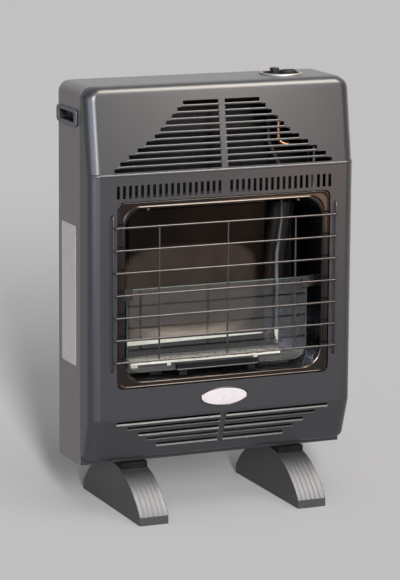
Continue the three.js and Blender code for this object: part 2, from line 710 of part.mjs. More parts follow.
function burnerLip() {
  const y = burnerY0 - gap;
  const top = burnerTop + lip.rise;
  return box(burnerLeft + lip.inset, burnerRight - lip.inset, y - lip.thickness, y, top - lip.height, top);
}
add("burner_lip", burnerLip(), aluminium);

for (const [name, side] of sides) {
  const x = side < 0 ? burnerLeft + burnerFoot.left : burnerRight - burnerFoot.right;
  const half = burnerFoot.width / 2;
  add("burner_foot_" + name,
    box(x - half, x + half, burnerY0 + burnerFoot.inset, burnerY1 - burnerFoot.inset, linerIn.bottom + gap, burnerFloor - gap),
    darkSteel);
}

const injectorFlange = mixerEnd + 4;
function injectorBody() {
  const [y, z] = [back(burner.centre), mixerZ];
  const tip = rodAlongX(y, z, injectorFlange - injector.tipLength, injectorFlange + 1, injector.tip);
  const hex = rodAlongX(y, z, injectorFlange, injectorFlange + injector.length, injector.radius, 3);
  return join(tip, hex);
}
add("injector", injectorBody(), brass);

const holder = { wall: 1.6, flange: 14, width: 24 };
function injectorBracket() {
  const [y, z] = [back(burner.centre), mixerZ];
  const x1 = injectorFlange - gap;
  const x0 = linerOutside + gap;
  const low = z - mixer.radius - holder.wall - 1;
  const face = box(x1 - holder.wall, x1, y - holder.width / 2, y + holder.width / 2, low, z + holder.width / 2);
  const arm = box(x0, x1, y - holder.width / 2, y + holder.width / 2, low, low + holder.wall);
  const foot = box(x0, x0 + holder.wall, y - holder.width / 2, y + holder.width / 2, low - holder.flange, low + holder.wall);
  const hole = rodAlongX(y, z, x1 - 5, x1 + 1, injector.tip + gap);
  return join(face, arm, foot).subtract(hole);
}
add("injector_bracket", injectorBracket(), darkSteel);

// ---- pilot ----
const pilotY = back(pilot.y);
const shelfZ = openingBottom + pilot.shelf;
const pilotRods = [
  [pilotBurnerX, pilot.radius],
  [thermocoupleX, 2],
  [electrodeX, 3],
];

function pilotBracket() {
  const [x0, x1] = [pilotBurnerX - 6, electrodeX + 7];
  const rear = pilotY + 8;
  const shape = polygon([
    [pilotY - 7, shelfZ], [pilotY - 7, shelfZ - sheet], [rear - sheet, shelfZ - sheet],
    [rear - sheet, linerIn.bottom + gap], [rear + 8, linerIn.bottom + gap],
    [rear + 8, linerIn.bottom + gap + sheet], [rear, linerIn.bottom + gap + sheet], [rear, shelfZ],
  ]);
  const holes = pilotRods.map(([x, radius]) => rod(x, pilotY, shelfZ - 5, shelfZ + 1, radius + gap, 12));
  return alongX(shape, x0, x1).subtract(join(...holes));
}
add("pilot_bracket", pilotBracket(), darkSteel);

const pilotFoot = shelfZ - 8;
function pilotBurner() {
  const r = pilot.radius;
  return turned([[0, pilotFoot], [r, pilotFoot], [r, shelfZ + 8], [r - 1, shelfZ + 12], [0, shelfZ + 12]],
    pilotBurnerX, pilotY, 12);
}
add("pilot_burner", pilotBurner(), brass);
add("thermocouple", rod(thermocoupleX, pilotY, pilotFoot, shelfZ + 14, 2, 10), wireSteel);

const electrodeTop = shelfZ + 20;
function sparkElectrode() {
  const foot = shelfZ - 4;
  return turned([[0, foot], [3, foot], [3, shelfZ + 12], [3.6, shelfZ + 13], [3.6, electrodeTop], [0, electrodeTop]],
    electrodeX, pilotY, 12);
}
add("electrode_ceramic", sparkElectrode(), ceramic);

function electrodeTip() {
  const foot = shelfZ - 4 - gap;
  const x = electrodeX;
  return tube([[x, pilotY, foot], [x, pilotY, foot - 6], [x - 4, pilotY - 12, foot - 6], [x - 8, pilotY - 12, shelfZ + 10]],
    0.9, 2, 6);
}
add("electrode_tip", electrodeTip(), wireSteel);

// ---- gas valve and controls ----
const [valveX, valveY] = [knobX, back(control.y)];
const valveBox = [valveX - valve.width / 2, valveX + valve.width / 2, valveY - valve.depth / 2, valveY + valve.depth / 2];
const spindleFoot = height + knob.top - 2 - gap - spindle.depth;

function gasValve() {
  const body = alongZ(roundedRect(valveBox[0], valveBox[2], valveBox[1], valveBox[3], 4), valveBottom, valveTop);
  const collar = rod(valveX, valveY, valveTop - 1, neckTop, valve.neck);
  const bore = rod(valveX, valveY, spindleFoot - knob.push - 1.5, neckTop + 1, spindle.radius + running, 32);
  return join(body, collar).subtract(bore);
}
add("gas_valve", gasValve(), aluminium);

function valveBracket() {
  const [front, rear] = [valveBox[3] + gap, panelInside - gap];
  const low = valveBottom + 8;
  const shape = polygon([
    [front, valveTop - 4], [front, low], [rear - sheet, low], [rear - sheet, low - 26], [rear, low - 26],
    [rear, low + sheet], [front + sheet, low + sheet], [front + sheet, valveTop - 4],
  ]);
  return alongX(shape, valveX - 13, valveX + 13);
}
add("valve_bracket", valveBracket(), darkSteel);

const controlY = back(control.y);
const buttonY = controlY;

function controlTray() {
  const r = control.tray;
  const flange = height + gap;
  const dish = turned([
    [0, trayFloor - control.trayWall], [r, trayFloor - control.trayWall], [r, flange], [r + control.flange, flange],
    [r + control.flange, flange + 1],
    [r - control.trayWall, flange + 1], [r - control.trayWall, trayFloor], [0, trayFloor],
  ], controlX, controlY, 24);
  const spindleHole = rod(knobX, controlY, trayFloor - 5, trayFloor + 1, spindle.radius + 2 * gap);
  const stemHole = rod(buttonX, buttonY, trayFloor - 5, trayFloor + 1, button.stem + 2 * gap);
  return dish.subtract(join(spindleHole, stemHole));
}
add("control_tray", controlTray(), blackPlastic);

function controlBezel() {
  const [base, top] = [height + gap, height + control.bezelHeight];
  const [inner, step, outer] = [control.tray + 0.2, control.tray + control.flange + gap, control.bezel];
  const edge = bezelEdge;
  return turned([
    [step, base], [outer, base], [outer - edge.lean, top - edge.drop], [outer - edge.round, top], [inner + edge.lip, top],
    [inner, top - edge.lipDrop],
    [inner, base + 1 + gap], [step, base + 1 + gap], [step, base],
  ], controlX, controlY, 24);
}
add("control_bezel", controlBezel(), chrome);

function controlKnob() {
  const outline = new THREE.Shape();
  const count = 4 * knob.lobes;
  for (let i = 0; i < count; i++) {
    const angle = (2 * Math.PI * i) / count;
    const r = knob.radius - knob.lobe * (0.5 + 0.5 * Math.cos(knob.lobes * angle));
    const [x, y] = [knobX + r * Math.cos(angle), controlY + r * Math.sin(angle)];
    if (i) outline.lineTo(x, y);
    else outline.moveTo(x, y);
  }
  const base = trayFloor + knob.lift;
  const top = height + knob.top;
  const skirt = alongZ(outline, base, top - 1.5);
  const cap = turned([[0, top - 2], [knob.radius - 1.4, top - 2], [knob.radius - 2.4, top - 1], [0, top - 1]],
    knobX, controlY, 24);
  const pointer = box(knobX - knob.radius + 2, knobX + knob.radius - 3, controlY - 1.6, controlY + 1.6, top - 2, top);
  const bore = rod(knobX, controlY, base - 1, top - 2, spindle.radius + gap);
  return join(skirt, cap, pointer).subtract(bore);
}
add("control_knob", controlKnob(), blackPlastic);

const cup = { radius: 7.2, thickness: 1.2, clear: 3.6 };
const cupTop = trayFloor - control.trayWall - cup.clear;

// The shoulder carries the spring cup down when the knob is pushed.
function valveSpindle() {
  const [r, low] = [spindle.shoulder, cupTop + gap];
  const shaft = rod(knobX, controlY, spindleFoot, spindleFoot + spindle.depth, spindle.radius, 32);
  return join(shaft, rod(knobX, controlY, low, low + spindle.shoulderHeight, r));
}
add("valve_spindle", valveSpindle(), wireSteel);

function springCup() {
  const washer = rod(knobX, controlY, cupTop - cup.thickness, cupTop, cup.radius);
  return washer.subtract(rod(knobX, controlY, cupTop - 5, cupTop + 5, spindle.radius + running, 32));
}
add("spring_cup", springCup(), wireSteel);
add("knob_spring",
  spring(knobX, controlY, neckTop + gap, cupTop - cup.thickness - gap, coil.radius, coil.wire, coil.turns), wireSteel);

const buttonBase = trayFloor + button.lift;
const stemFoot = buttonBase - 21;
function igniterButton() {
  const [halfX, halfY] = [button.width / 2, button.depth / 2];
  const top = height + button.top;
  const outline = (inset) => roundedRect(buttonX - halfX + inset, buttonY - halfY + inset,
    buttonX + halfX - inset, buttonY + halfY - inset, button.corner - inset);
  const cap = join(alongZ(outline(0), buttonBase, top - 1.2), alongZ(outline(1), top - 2, top));
  return join(cap, rod(buttonX, buttonY, stemFoot, buttonBase + 1, button.stem, 32));
}
add("igniter_button", igniterButton(), blackPlastic);

const piezoTop = trayFloor - control.trayWall - gap;
const piezoFoot = piezoTop - piezo.length;
const piezoWell = stemFoot - 12;
function piezoUnit() {
  const shape = join(
    rod(buttonX, buttonY, piezoFoot, piezoTop, piezo.radius),
    rod(buttonX, buttonY, piezoTop - 2, piezoTop, piezo.flange),
  );
  return shape.subtract(rod(buttonX, buttonY, piezoWell, piezoTop + 1, button.stem + running, 32));
}
add("piezo_unit", piezoUnit(), ceramic);
add("igniter_spring",
  spring(buttonX, buttonY, piezoWell + gap, stemFoot - gap, button.stem - 2 * coil.wire, coil.wire, coil.turns), wireSteel);

// ---- pipes and leads ----
function mainGasPipe() {
  const [x, y] = [innerHalf - mainPipe.side, back(burner.centre)];
  const run = valveBottom - mainPipe.fall;
  const [portX, portY] = [valveX + mainPipe.port, valveY + mainPipe.portBack];
  const end = injectorFlange + injector.length + gap;
  return tube([
    [portX, portY, valveBottom - gap], [portX, portY, run], [x, y, run], [x, y, mixerZ], [end, y, mixerZ],
  ], mainPipe.radius, mainPipe.bend, 10);
}
add("main_gas_pipe", mainGasPipe(), copper);

// From the valve down the right-hand side, in under the firebox floor line and up to a piece on the pilot shelf.
function sideLead(lead, z, endX) {
  const run = valveBottom - lead.fall;
  const [portX, x] = [valveX + lead.port, linerOutside + lead.out];
  return tube([
    [portX, pilotY, valveBottom - gap], [portX, pilotY, run], [x, pilotY, run], [x, pilotY, z],
    [endX, pilotY, z], [endX, pilotY, pilotFoot - gap],
  ], lead.radius, Math.min(lead.bend, lead.fall - 2), 8);
}
add("pilot_pipe", sideLead(pilotPipe, leadLow, pilotBurnerX), aluminium);
add("thermocouple_lead", sideLead(thermoLead, leadHigh, thermocoupleX), copper);

function igniterLead() {
  const x = electrodeX;
  const slant = linerIn.top - sparkLead.jogDrop;
  const [y, low] = [pilotY + sparkLead.behind, piezoFoot - sparkLead.below];
  return tube([
    [x, pilotY, electrodeTop + gap], [x, pilotY, slant], [sparkX, pilotY, slant + sparkLead.jogRise],
    [sparkX, pilotY, linerIn.top + sparkLead.above], [buttonX, y, linerIn.top + sparkLead.turn], [buttonX, y, low],
    [buttonX, buttonY, low], [buttonX, buttonY, piezoFoot - gap],
  ], sparkLead.radius, sparkLead.bend, 8);
}
add("igniter_lead", igniterLead(), greyPlastic);

const inletEnd = panelInside - 5;
add("inlet_pipe",
  tube([[valveBox[1] + gap, valveY, inletZ], [inletX, valveY, inletZ], [inletX, inletEnd, inletZ]],
    inlet.radius, inlet.bend, 10), copper);

function hoseNozzle() {
  const from = inletEnd + gap;
  const tip = rearY + inlet.reach;
  const rings = [0, 7, 14].map((shift) => rodAlongY(inletX, inletZ, tip - shift - 4, tip - shift - 1, inlet.barb, 6));
  const nut = rodAlongY(inletX, inletZ, panelInside + sheet + gap, rearY + 7, inlet.radius + 4, 3);
  const stem = rodAlongY(inletX, inletZ, from, tip, inlet.radius - 0.5, 6);
  return join(stem, nut, ...rings);
}
add("hose_nozzle", hoseNozzle(), brass);

// ---- wire guard ----
function wireGuard() {
  const front = faceY - wire.front;
  const rear = faceY - wire.side;
  const half = guardHalf;
  const lowest = openingBottom + guard.first;
  const gaps = Math.floor((guardHead - guard.room - lowest) / wire.pitch);
  const highest = lowest + gaps * wire.pitch;
  const wires = [];
  for (let i = 0; i <= gaps; i++) {
    const z = lowest + i * wire.pitch;
    wires.push(tube([[-half, rear, z], [-half, front, z], [half, front, z], [half, rear, z]], wire.radius, wire.bend));
  }
  const weldY = front + 1.6 * wire.radius;
  for (const x of [-wire.upright, 0, wire.upright]) {
    wires.push(rod(x, weldY, lowest - 1, highest + 1, wire.radius, 6));
  }
  for (const side of [-1, 1]) {
    const x = side * half;
    wires.push(
      tube([[x, faceY + 6, guardFoot], [x, rear, guardFoot], [x, rear, guardHead], [x, faceY + 6, guardHead]],
        wire.radius, wire.bend));
  }
  return join(...wires);
}
add("wire_guard", wireGuard(), wireSteel);

// ---- side grips, badge and blank plate ----
function sideHandle(side) {
  const z = height - handle.drop;
  const face = width / 2 + gap;
  const inner = width / 2 - handle.depth;
  const rect = (length, tall, corner) =>
    roundedRect(handleY - length / 2, z - tall / 2, handleY + length / 2, z + tall / 2, corner);
  const span = (a, b) => (side < 0 ? [-b, -a] : [a, b]);
  const flange = alongX(rect(handle.length, handle.height, 6), ...span(face, face + handle.proud));
  const wall = 2 * handle.wall;
  const tub = alongX(rect(handle.slotLength + wall, handle.slotHeight + wall, 4), ...span(inner, face + 1));
  const hollow = alongX(rect(handle.slotLength, handle.slotHeight, 3), ...span(inner + handle.wall, face + handle.proud + 1));
  return join(flange, tub).subtract(hollow);
}
for (const [name, side] of sides) add("side_handle_" + name, sideHandle(side), greyPlastic);

const badgeZ = floorGap + badge.lift;
const oval = (inset) => ellipse(0, badgeZ, badge.width / 2 - inset, badge.height / 2 - inset);
add("badge_rim",
  alongY(oval(0), faceY - gap - badge.proud, faceY - gap, 14)
    .subtract(alongY(oval(badge.rim), faceY - 10, faceY + 1, 14)), chrome);
add("badge_plate", alongY(oval(badge.rim + gap), faceY - gap - badge.proud + 0.5, faceY - gap, 14), whitePlate);

function blankPlate() {
  const x = -width / 2 - gap;
  const y = back(casingDepth + cabinetDepth / 2) - plate.width / 2;
  const z = floorGap + plate.lift;
  return box(x - plate.thickness, x, y, y + plate.width, z, z + plate.height);
}
add("blank_plate", blankPlate(), whitePlate);

// ---- feet ----
// The foot seen from the side is an arch through both tips and the crown.
const footHalf = foot.depth / 2;
const archRise = foot.crown - foot.tip;
const archRadius = (footHalf ** 2 + archRise ** 2) / (2 * archRise);
const archCentre = foot.crown - archRadius;

// The part of the arch between two places along Y, down to a floor height. Arches of any radius turn at the same
// places along Y, so that one stays clear of the next.
const archStep = 12;
function archShape(y0, y1, radius, floor) {
  const onArch = (y) => [y, archCentre + Math.sqrt(radius ** 2 - y ** 2)];
  const outer = [onArch(y0)];
  for (let i = Math.floor(y0 / archStep) + 1; i * archStep < y1 - 0.5; i++) {
    if (i * archStep > y0 + 0.5) outer.push(onArch(i * archStep));
  }
  return polygon([[y1, floor], [y0, floor], ...outer, onArch(y1)]);
}

const trimEnd = -Math.sqrt(archRadius ** 2 - (trim.top - archCentre) ** 2);
const trimBed = archRadius - trim.thickness - gap;

function footBody(side) {
  const x = (side * foot.spacing) / 2;
  const half = foot.width / 2;
  const solidFoot = alongX(archShape(-footHalf, footHalf, archRadius, 0), x - half, x + half);
  const wall = foot.wall + trim.thickness;
  const hollow = alongX(archShape(-footHalf + foot.wall, footHalf - foot.wall, archRadius - wall, -1),
    x - half + foot.wall, x + half - foot.wall);
  const bed = alongX(archShape(-footHalf - 1, trimEnd, archRadius + 20, archCentre), x - half - 1, x + half + 1)
    .subtract(alongX(archShape(-footHalf - 1, trimEnd + 1, trimBed, archCentre - 1), x - half - 2, x + half + 2))
    .subtract(box(x - half - 2, x + half + 2, -footHalf - 2, footHalf, -10, foot.tip));
  return solidFoot.subtract(bed).subtract(hollow);
}

function footTrim(side) {
  const x = (side * foot.spacing) / 2;
  const half = foot.width / 2;
  const [y0, y1] = [-footHalf, trimEnd - gap];
  const band = alongX(archShape(y0, y1, archRadius, archCentre), x - half, x + half)
    .subtract(alongX(archShape(y0 - 1, y1 + 1, archRadius - trim.thickness, archCentre - 1), x - half - 1, x + half + 1))
    .subtract(box(x - half - 2, x + half + 2, y0 - 2, y1 + 2, -10, foot.tip + gap));
  const pitch = foot.width / trim.ribs;
  const grooves = [];
  for (let i = 1; i < trim.ribs; i++) {
    const middle = x - half + i * pitch;
    grooves.push(
      alongX(archShape(y0 - 1, y1 + 1, archRadius + 5, archCentre), middle - trim.groove / 2, middle + trim.groove / 2)
        .subtract(alongX(archShape(y0 - 2, y1 + 2, archRadius - trim.grooveDepth, archCentre - 1), middle - 9, middle + 9)),
    );
  }
  return band.subtract(join(...grooves));
}

function footNeck(side) {
  const x = (side * foot.spacing) / 2;
  const half = neck.depth / 2;
  const block = box(x - neck.width / 2, x + neck.width / 2, -half, half, 20, floorGap - gap);
  return block.subtract(alongX(archShape(-half - 1, half + 1, archRadius + gap, archCentre), x - 99, x + 99));
}
for (const [name, side] of sides) {
  add("foot_" + name, footBody(side), footPlastic);
  add("foot_trim_" + name, footTrim(side), aluminium);
  add("foot_neck_" + name, footNeck(side), blackPlastic);
}

// ---- screws ----
const frameScrew = { side: 40, depth: 6 };
for (const [name, side] of sides) {
  const top = frameHole.top - gap;
  add("frame_screw_" + name,
    rod(side * (frameHole.half - frameScrew.side), back(frameScrew.depth), top - 2 * screwHead.height, top, screwHead.radius, 10), wireSteel);
}
const panScrew = { side: 50, lift: 5.5 };
const panScrewZ = floorGap + panScrew.lift;
for (const [name, x] of [["left", panScrew.side - width / 2], ["middle", 0]]) {
  add("pan_screw_" + name,
    rodAlongY(x, panScrewZ, seamY - screwHead.height, seamY, screwHead.radius - 0.2, 5), wireSteel);
}

export default part;
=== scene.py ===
"""A slim portable gas cabinet heater: charcoal casing, glazed firebox, wire guard and two arched feet.

Lengths in the making are in millimetres and become metres where a mesh is made.
"""
import math
from contextlib import contextmanager

import bmesh
import bpy
from bpy.props import FloatProperty, FloatVectorProperty, IntProperty, PointerProperty
from mathutils import Matrix, Vector, noise


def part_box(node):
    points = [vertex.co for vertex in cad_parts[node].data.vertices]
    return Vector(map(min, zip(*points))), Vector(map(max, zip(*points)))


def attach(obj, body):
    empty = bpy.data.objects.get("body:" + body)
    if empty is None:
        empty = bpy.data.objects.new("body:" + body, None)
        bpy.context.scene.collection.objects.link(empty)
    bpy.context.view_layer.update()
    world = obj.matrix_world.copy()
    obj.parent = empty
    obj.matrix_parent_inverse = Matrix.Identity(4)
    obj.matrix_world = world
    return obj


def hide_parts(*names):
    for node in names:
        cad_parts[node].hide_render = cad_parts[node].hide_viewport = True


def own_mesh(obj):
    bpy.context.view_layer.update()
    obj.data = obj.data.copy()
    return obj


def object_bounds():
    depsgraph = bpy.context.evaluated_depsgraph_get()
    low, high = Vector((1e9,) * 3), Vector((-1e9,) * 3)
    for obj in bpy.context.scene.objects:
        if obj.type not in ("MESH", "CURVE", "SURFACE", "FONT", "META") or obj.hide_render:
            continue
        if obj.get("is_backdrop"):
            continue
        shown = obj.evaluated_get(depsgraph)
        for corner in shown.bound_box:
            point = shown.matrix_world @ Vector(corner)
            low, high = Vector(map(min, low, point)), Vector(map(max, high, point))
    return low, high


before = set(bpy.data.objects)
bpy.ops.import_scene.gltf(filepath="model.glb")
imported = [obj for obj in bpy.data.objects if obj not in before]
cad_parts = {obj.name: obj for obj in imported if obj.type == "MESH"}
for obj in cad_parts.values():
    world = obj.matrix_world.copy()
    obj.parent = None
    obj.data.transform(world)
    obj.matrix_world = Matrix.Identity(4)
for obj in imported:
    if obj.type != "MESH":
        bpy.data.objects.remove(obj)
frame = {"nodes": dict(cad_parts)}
cad_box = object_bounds()

bl_info = {
    "name": "Gas cabinet heater",
    "version": (1, 0, 0),
    "blender": (4, 5, 0),
    "location": "View3D > Sidebar > Heater",
    "description": "Makes a slim portable gas cabinet heater, piece by piece",
    "category": "Object",
}

MM = 0.001
CABINET, PLUNGER, KNOB, BUTTON = "cabinet", "plunger", "knob", "button"
SIDES = (("left", -1), ("right", 1))


def node_box(node):
    """Lowest and highest corner of a frame node, in millimetres."""
    return [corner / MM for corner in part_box(node)]


# Places that the pieces share, read from the frame.
CASING_LOW, CASING_HIGH = node_box("front_casing")
FACE_Y, SEAM_Y = CASING_LOW.y, CASING_HIGH.y
CASING_FOOT, TOP = CASING_LOW.z, CASING_HIGH.z
HALF_WIDTH = CASING_HIGH.x
WRAP_LOW, WRAP_HIGH = node_box("cabinet_wrap")
BEVEL_HEIGHT, UPPER_HEIGHT = 68, 131
BEVEL_TOP, LEDGE = CASING_FOOT + BEVEL_HEIGHT, TOP - UPPER_HEIGHT
SHEET = 1.2
CUT_FRONT, CUT_BACK = -95, -20  # reach of what cuts through the casing's front
CONTROL_Y, WELL_X, KNOB_X, BUTTON_X = FACE_Y + 95, 136, 149, 125.4
GRIP_Y, GRIP_Z = 18.5, TOP - 50
GUARD_HALF, GUARD_ENDS = 190, (241, 485)  # half width of the guard, heights where it is fixed
LEAD_Y = 4.5  # the pilot's pipe and leads rise in this plane
HOSE_X, HOSE_Z = 190, 632


def linear(code):
    """A colour written as sRGB hex, as linear red, green and blue."""
    shares = [int(code[i : i + 2], 16) / 255 for i in (1, 3, 5)]
    return tuple(c / 12.92 if c <= 0.04045 else ((c + 0.055) / 1.055) ** 2.4 for c in shares)


# ---- settings ----
def amount(name, description, default, **limits):
    """A plain number that is never negative."""
    return FloatProperty(name=name, description=description, default=default, min=0.0, **limits)


def length(name, description, millimetres):
    """A length in metres with its default written in millimetres."""
    return amount(name, description, millimetres * MM, unit="LENGTH")


def colour(name, description, code):
    """A colour with its default written as sRGB hex."""
    return FloatVectorProperty(
        name=name, description=description, default=linear(code), size=3, min=0.0, max=1.0, subtype="COLOR"
    )


class HeaterSizes(bpy.types.PropertyGroup):
    """Sizes of the details that this file adds to the frame."""

    fin_proud: length("Fin stands out", "How far a louvre fin stands out of the sloping panel", 1.5)
    fin_height: length("Fin height", "Height of the pressed fin between two louvre slots", 4.0)
    fin_past: length("Fin runs past", "How far a fin runs past the end of its slot", 3.5)
    lip_out: length("Lip stands out", "How far the bent lip under each second lower slot stands out", 1.9)
    guard_wire: length("Guard wire", "Radius of the guard's wires", 1.5)
    guard_bend: length("Guard bend", "Bend radius at the ends of the guard's bars", 5.0)
    trim_groove: length("Groove depth", "Depth of the grooves along a foot's metal front", 0.3)
    trim_ribs: IntProperty(name="Foot ribs", description="Ribs across a foot's metal front", default=6, min=2)
    port_pitch: length("Port pitch", "Distance between the ribbons of the burner", 3.0)
    edge_round: length("Edge round", "Round on the folded and cut edges of sheet metal", 0.35)


class HeaterColours(bpy.types.PropertyGroup):
    """Colours of the finishes."""

    casing: colour("Casing", "Charcoal stove enamel of the front casing", "#27272b")
    cabinet: colour("Cabinet", "Grey enamel of the rear cabinet", "#5d595d")
    frame: colour("Firebox frame", "Bronzed steel round the firebox", "#342e2b")
    wire: colour("Guard wire", "Plated steel wire of the guard", "#4e4c4c")
    trim: colour("Foot trim", "Ribbed aluminium front of the feet", "#57585b")
    foot: colour("Foot", "Moulded plastic of the feet", "#353336")
    plate: colour("Blank plates", "Pale film of the side plate and the badge", "#cdc7ca")
    floor: colour("Floor", "Plain studio floor", "#bfbdbe")


class StageSettings(bpy.types.PropertyGroup):
    """Light of the plain studio."""

    key: amount("Key", "Strength of the tall, narrow key light", 1.0)
    fill: amount("Fill", "Brightness of the studio all round", 0.28)
    overhead: amount("Overhead", "Brightness of the soft patch overhead", 1.3)
    backdrop: amount("Backdrop", "Brightness of the backdrop that the top sheet mirrors", 0.45)
    bounce: amount("Bounce", "Share of the floor's shown colour that lights things from below", 0.6, max=1.0)
    top_shine: amount("Top shine", "Watts of the box mirrored in the top edge", 52.0)
    front_shine: amount("Front shine", "Watts of the box mirrored in the sloping panel", 2.8)
    side_shine: amount("Side shine", "Watts of the box mirrored in the left front edge", 20.0)
    edge_shine: amount("Edge shine", "Watts of the box mirrored behind the left front edge", 17.0)
    rim_shine: amount("Rim shine", "Watts of the box mirrored in the right front edge", 3.4)
    warm_shine: amount("Warm shine", "Watts of the warm box mirrored in the right of the front", 1.0)


# ---- meshes ----
def linked(name, data):
    """A new object in the scene."""
    made = bpy.data.objects.new(name, data)
    bpy.context.scene.collection.objects.link(made)
    return made


def raw_piece(name, points, edges, faces):
    """A mesh object just as it is drawn, from points in millimetres."""
    mesh = bpy.data.meshes.new(name)
    mesh.from_pydata([Vector(point) * MM for point in points], edges, faces)
    return linked(name, mesh)


def mesh_piece(name, points, faces, material):
    """A closed mesh object at the origin, from points in millimetres."""
    piece = raw_piece(name, points, [], faces)
    piece.data.materials.append(material)
    return tidy(piece)


@contextmanager
def edited(mesh):
    """Opens a mesh for editing and writes it back."""
    shape = bmesh.new()
    shape.from_mesh(mesh)
    yield shape
    shape.to_mesh(mesh)
    shape.free()


def tidy(piece, outwards=True):
    """The piece with its doubles merged and its faces turned outwards."""
    with edited(piece.data) as shape:
        bmesh.ops.remove_doubles(shape, verts=shape.verts, dist=2e-6)
        bmesh.ops.dissolve_degenerate(shape, edges=shape.edges, dist=1e-6)
        if outwards:
            bmesh.ops.recalc_face_normals(shape, faces=shape.faces)
    return piece


def bake(piece):
    """The piece's modifiers applied to its mesh."""
    depsgraph = bpy.context.evaluated_depsgraph_get()
    old = piece.data
    made = bpy.data.meshes.new_from_object(piece.evaluated_get(depsgraph), depsgraph=depsgraph)
    piece.modifiers.clear()
    piece.data = made
    bpy.data.meshes.remove(old)
    made.name = piece.name
    return piece


def soften(piece, width, segments=2, angle=38, flatten=False):
    """Small rounds on the sharp edges, in metres, with an even shine over the faces between them."""
    if flatten:
        with edited(piece.data) as shape:
            flat = math.radians(0.4)
            bmesh.ops.dissolve_limit(shape, angle_limit=flat, verts=shape.verts, edges=shape.edges)
    piece.data.shade_smooth()
    if width:
        rounds = piece.modifiers.new("rounds", "BEVEL")
        rounds.width = width
        rounds.segments = segments
        rounds.limit_method = "ANGLE"
        rounds.angle_limit = math.radians(angle)
    else:
        piece.data.set_sharp_from_angle(angle=math.radians(angle))
    even = piece.modifiers.new("even", "WEIGHTED_NORMAL")
    even.keep_sharp = True
    return bake(piece)


def from_frame(node, material, width=0.4, flatten=True, angle=38):
    """A copy of a frame node with softened edges."""
    piece = linked(node + "_made", frame["nodes"][node].data.copy())
    piece.data.materials.clear()
    piece.data.materials.append(material)
    tidy(piece, outwards=False)
    return soften(piece, width * MM, flatten=flatten, angle=angle)


def line_inside(piece, is_inside):
    """Gives the faces that pass the test the near-black primer, as painted shade inside the sheets."""
    piece.data.materials.append(shared(primer))
    for face in piece.data.polygons:
        if is_inside(face.center / MM, face.normal):
            face.material_index = 1
    return piece


def joined(name, pieces):
    """Several pieces as one."""
    shape = bmesh.new()
    for piece in pieces:
        shape.from_mesh(piece.data)
    mesh = bpy.data.meshes.new(name)
    shape.to_mesh(mesh)
    shape.free()
    for material in pieces[0].data.materials:
        mesh.materials.append(material)
    whole = linked(name, mesh)
    drop(*pieces)
    return whole


def cut(piece, cutters):
    """The piece without what the cutters cover."""
    tool = joined("cutters", cutters)
    hole = piece.modifiers.new("cut", "BOOLEAN")
    hole.operation = "DIFFERENCE"
    hole.solver = "EXACT"
    hole.object = tool
    bake(piece)
    drop(tool)
    return piece


def block(x0, x1, y0, y1, z0, z1, material=None):
    """A plain block, for cutting with."""
    points = [(x, y, z) for x in (x0, x1) for y in (y0, y1) for z in (z0, z1)]
    faces = [(0, 1, 3, 2), (4, 6, 7, 5), (0, 4, 5, 1), (2, 3, 7, 6), (0, 2, 6, 4), (1, 5, 7, 3)]
    return mesh_piece("block", points, faces, material)


def skin(loops, closed=False, caps=True):
    """Points and faces of a skin through loops that have the same number of points."""
    count, rows = len(loops[0]), len(loops)
    faces = []
    for i in range(rows if closed else rows - 1):
        a, b = i * count, ((i + 1) % rows) * count
        for j in range(count):
            k = (j + 1) % count
            faces.append((a + j, a + k, b + k, b + j))
    if caps and not closed:
        faces.append(tuple(reversed(range(count))))
        faces.append(tuple(range((rows - 1) * count, rows * count)))
    return [point for loop in loops for point in loop], faces


def rounded(u0, u1, v0, v1, lower, upper=None, steps=8):
    """A rounded rectangle as a loop of (u, v), anticlockwise."""
    upper = lower if upper is None else upper
    corners = [
        (u1, v0, lower, -1, 1, 270), (u1, v1, upper, -1, -1, 0), (u0, v1, upper, 1, -1, 90),
        (u0, v0, lower, 1, 1, 180),
    ]
    loop = []
    for u, v, radius, du, dv, start in corners:
        for k in range(steps + 1):
            angle = math.radians(start + 90 * k / steps)
            loop.append((u + radius * (du + math.cos(angle)), v + radius * (dv + math.sin(angle))))
    return loop


def oval(u, v, half_u, half_v, steps=72):
    """An oval as a loop of (u, v)."""
    turns = [2 * math.pi * k / steps for k in range(steps)]
    return [(u + half_u * math.cos(a), v + half_v * math.sin(a)) for a in turns]


def facing_y(loop, y):
    return [(u, y, v) for u, v in loop]


def facing_x(loop, x):
    return [(x, u, v) for u, v in loop]


def facing_z(loop, z):
    return [(u, v, z) for u, v in loop]


def turned(name, profile, u, v, material, sides=48, facing=facing_z):
    """A body turned about an axis, upright by default, from a profile of (radius, place on the axis)."""
    thin = 1e-3
    loops = []
    for radius, place in profile:
        reach = max(radius, thin)
        loops.append(facing(oval(u, v, reach, reach, sides), place))
    return skinned(name, loops, material)


def skinned(name, loops, material, closed=False):
    """A closed piece skinned through loops."""
    return mesh_piece(name, *skin(loops, closed), material)


def drawn_in(facing, bounds, corner, levels, steps=8, upper=None, shrink=math.inf):
    """Loops of a rounded rectangle, one for each (inset, place); its corners shrink too, up to a limit."""
    u0, u1, v0, v1 = bounds
    loops = []
    for inset, place in levels:
        less = min(inset, shrink)
        tops = None if upper is None else upper - less
        outline = rounded(u0 + inset, u1 - inset, v0 + inset, v1 - inset, corner - less, tops, steps)
        loops.append(facing(outline, place))
    return loops


def drop(*pieces):
    """Removes what other pieces were made with."""
    for piece in pieces:
        bpy.data.objects.remove(piece)


def lines(name, paths):
    """Loose polylines in millimetres, for a tree to work along."""
    points, edges = [], []
    for path in paths:
        edges += [(len(points) + i, len(points) + i + 1) for i in range(len(path) - 1)]
        points += path
    return raw_piece(name, points, edges, [])


def drawn_section(points):
    """A closed outline in millimetres, for the section tree: outwards, then down."""
    edges = [(i, (i + 1) % len(points)) for i in range(len(points))]
    return raw_piece("section", [(u, v, 0) for u, v in points], edges, [])


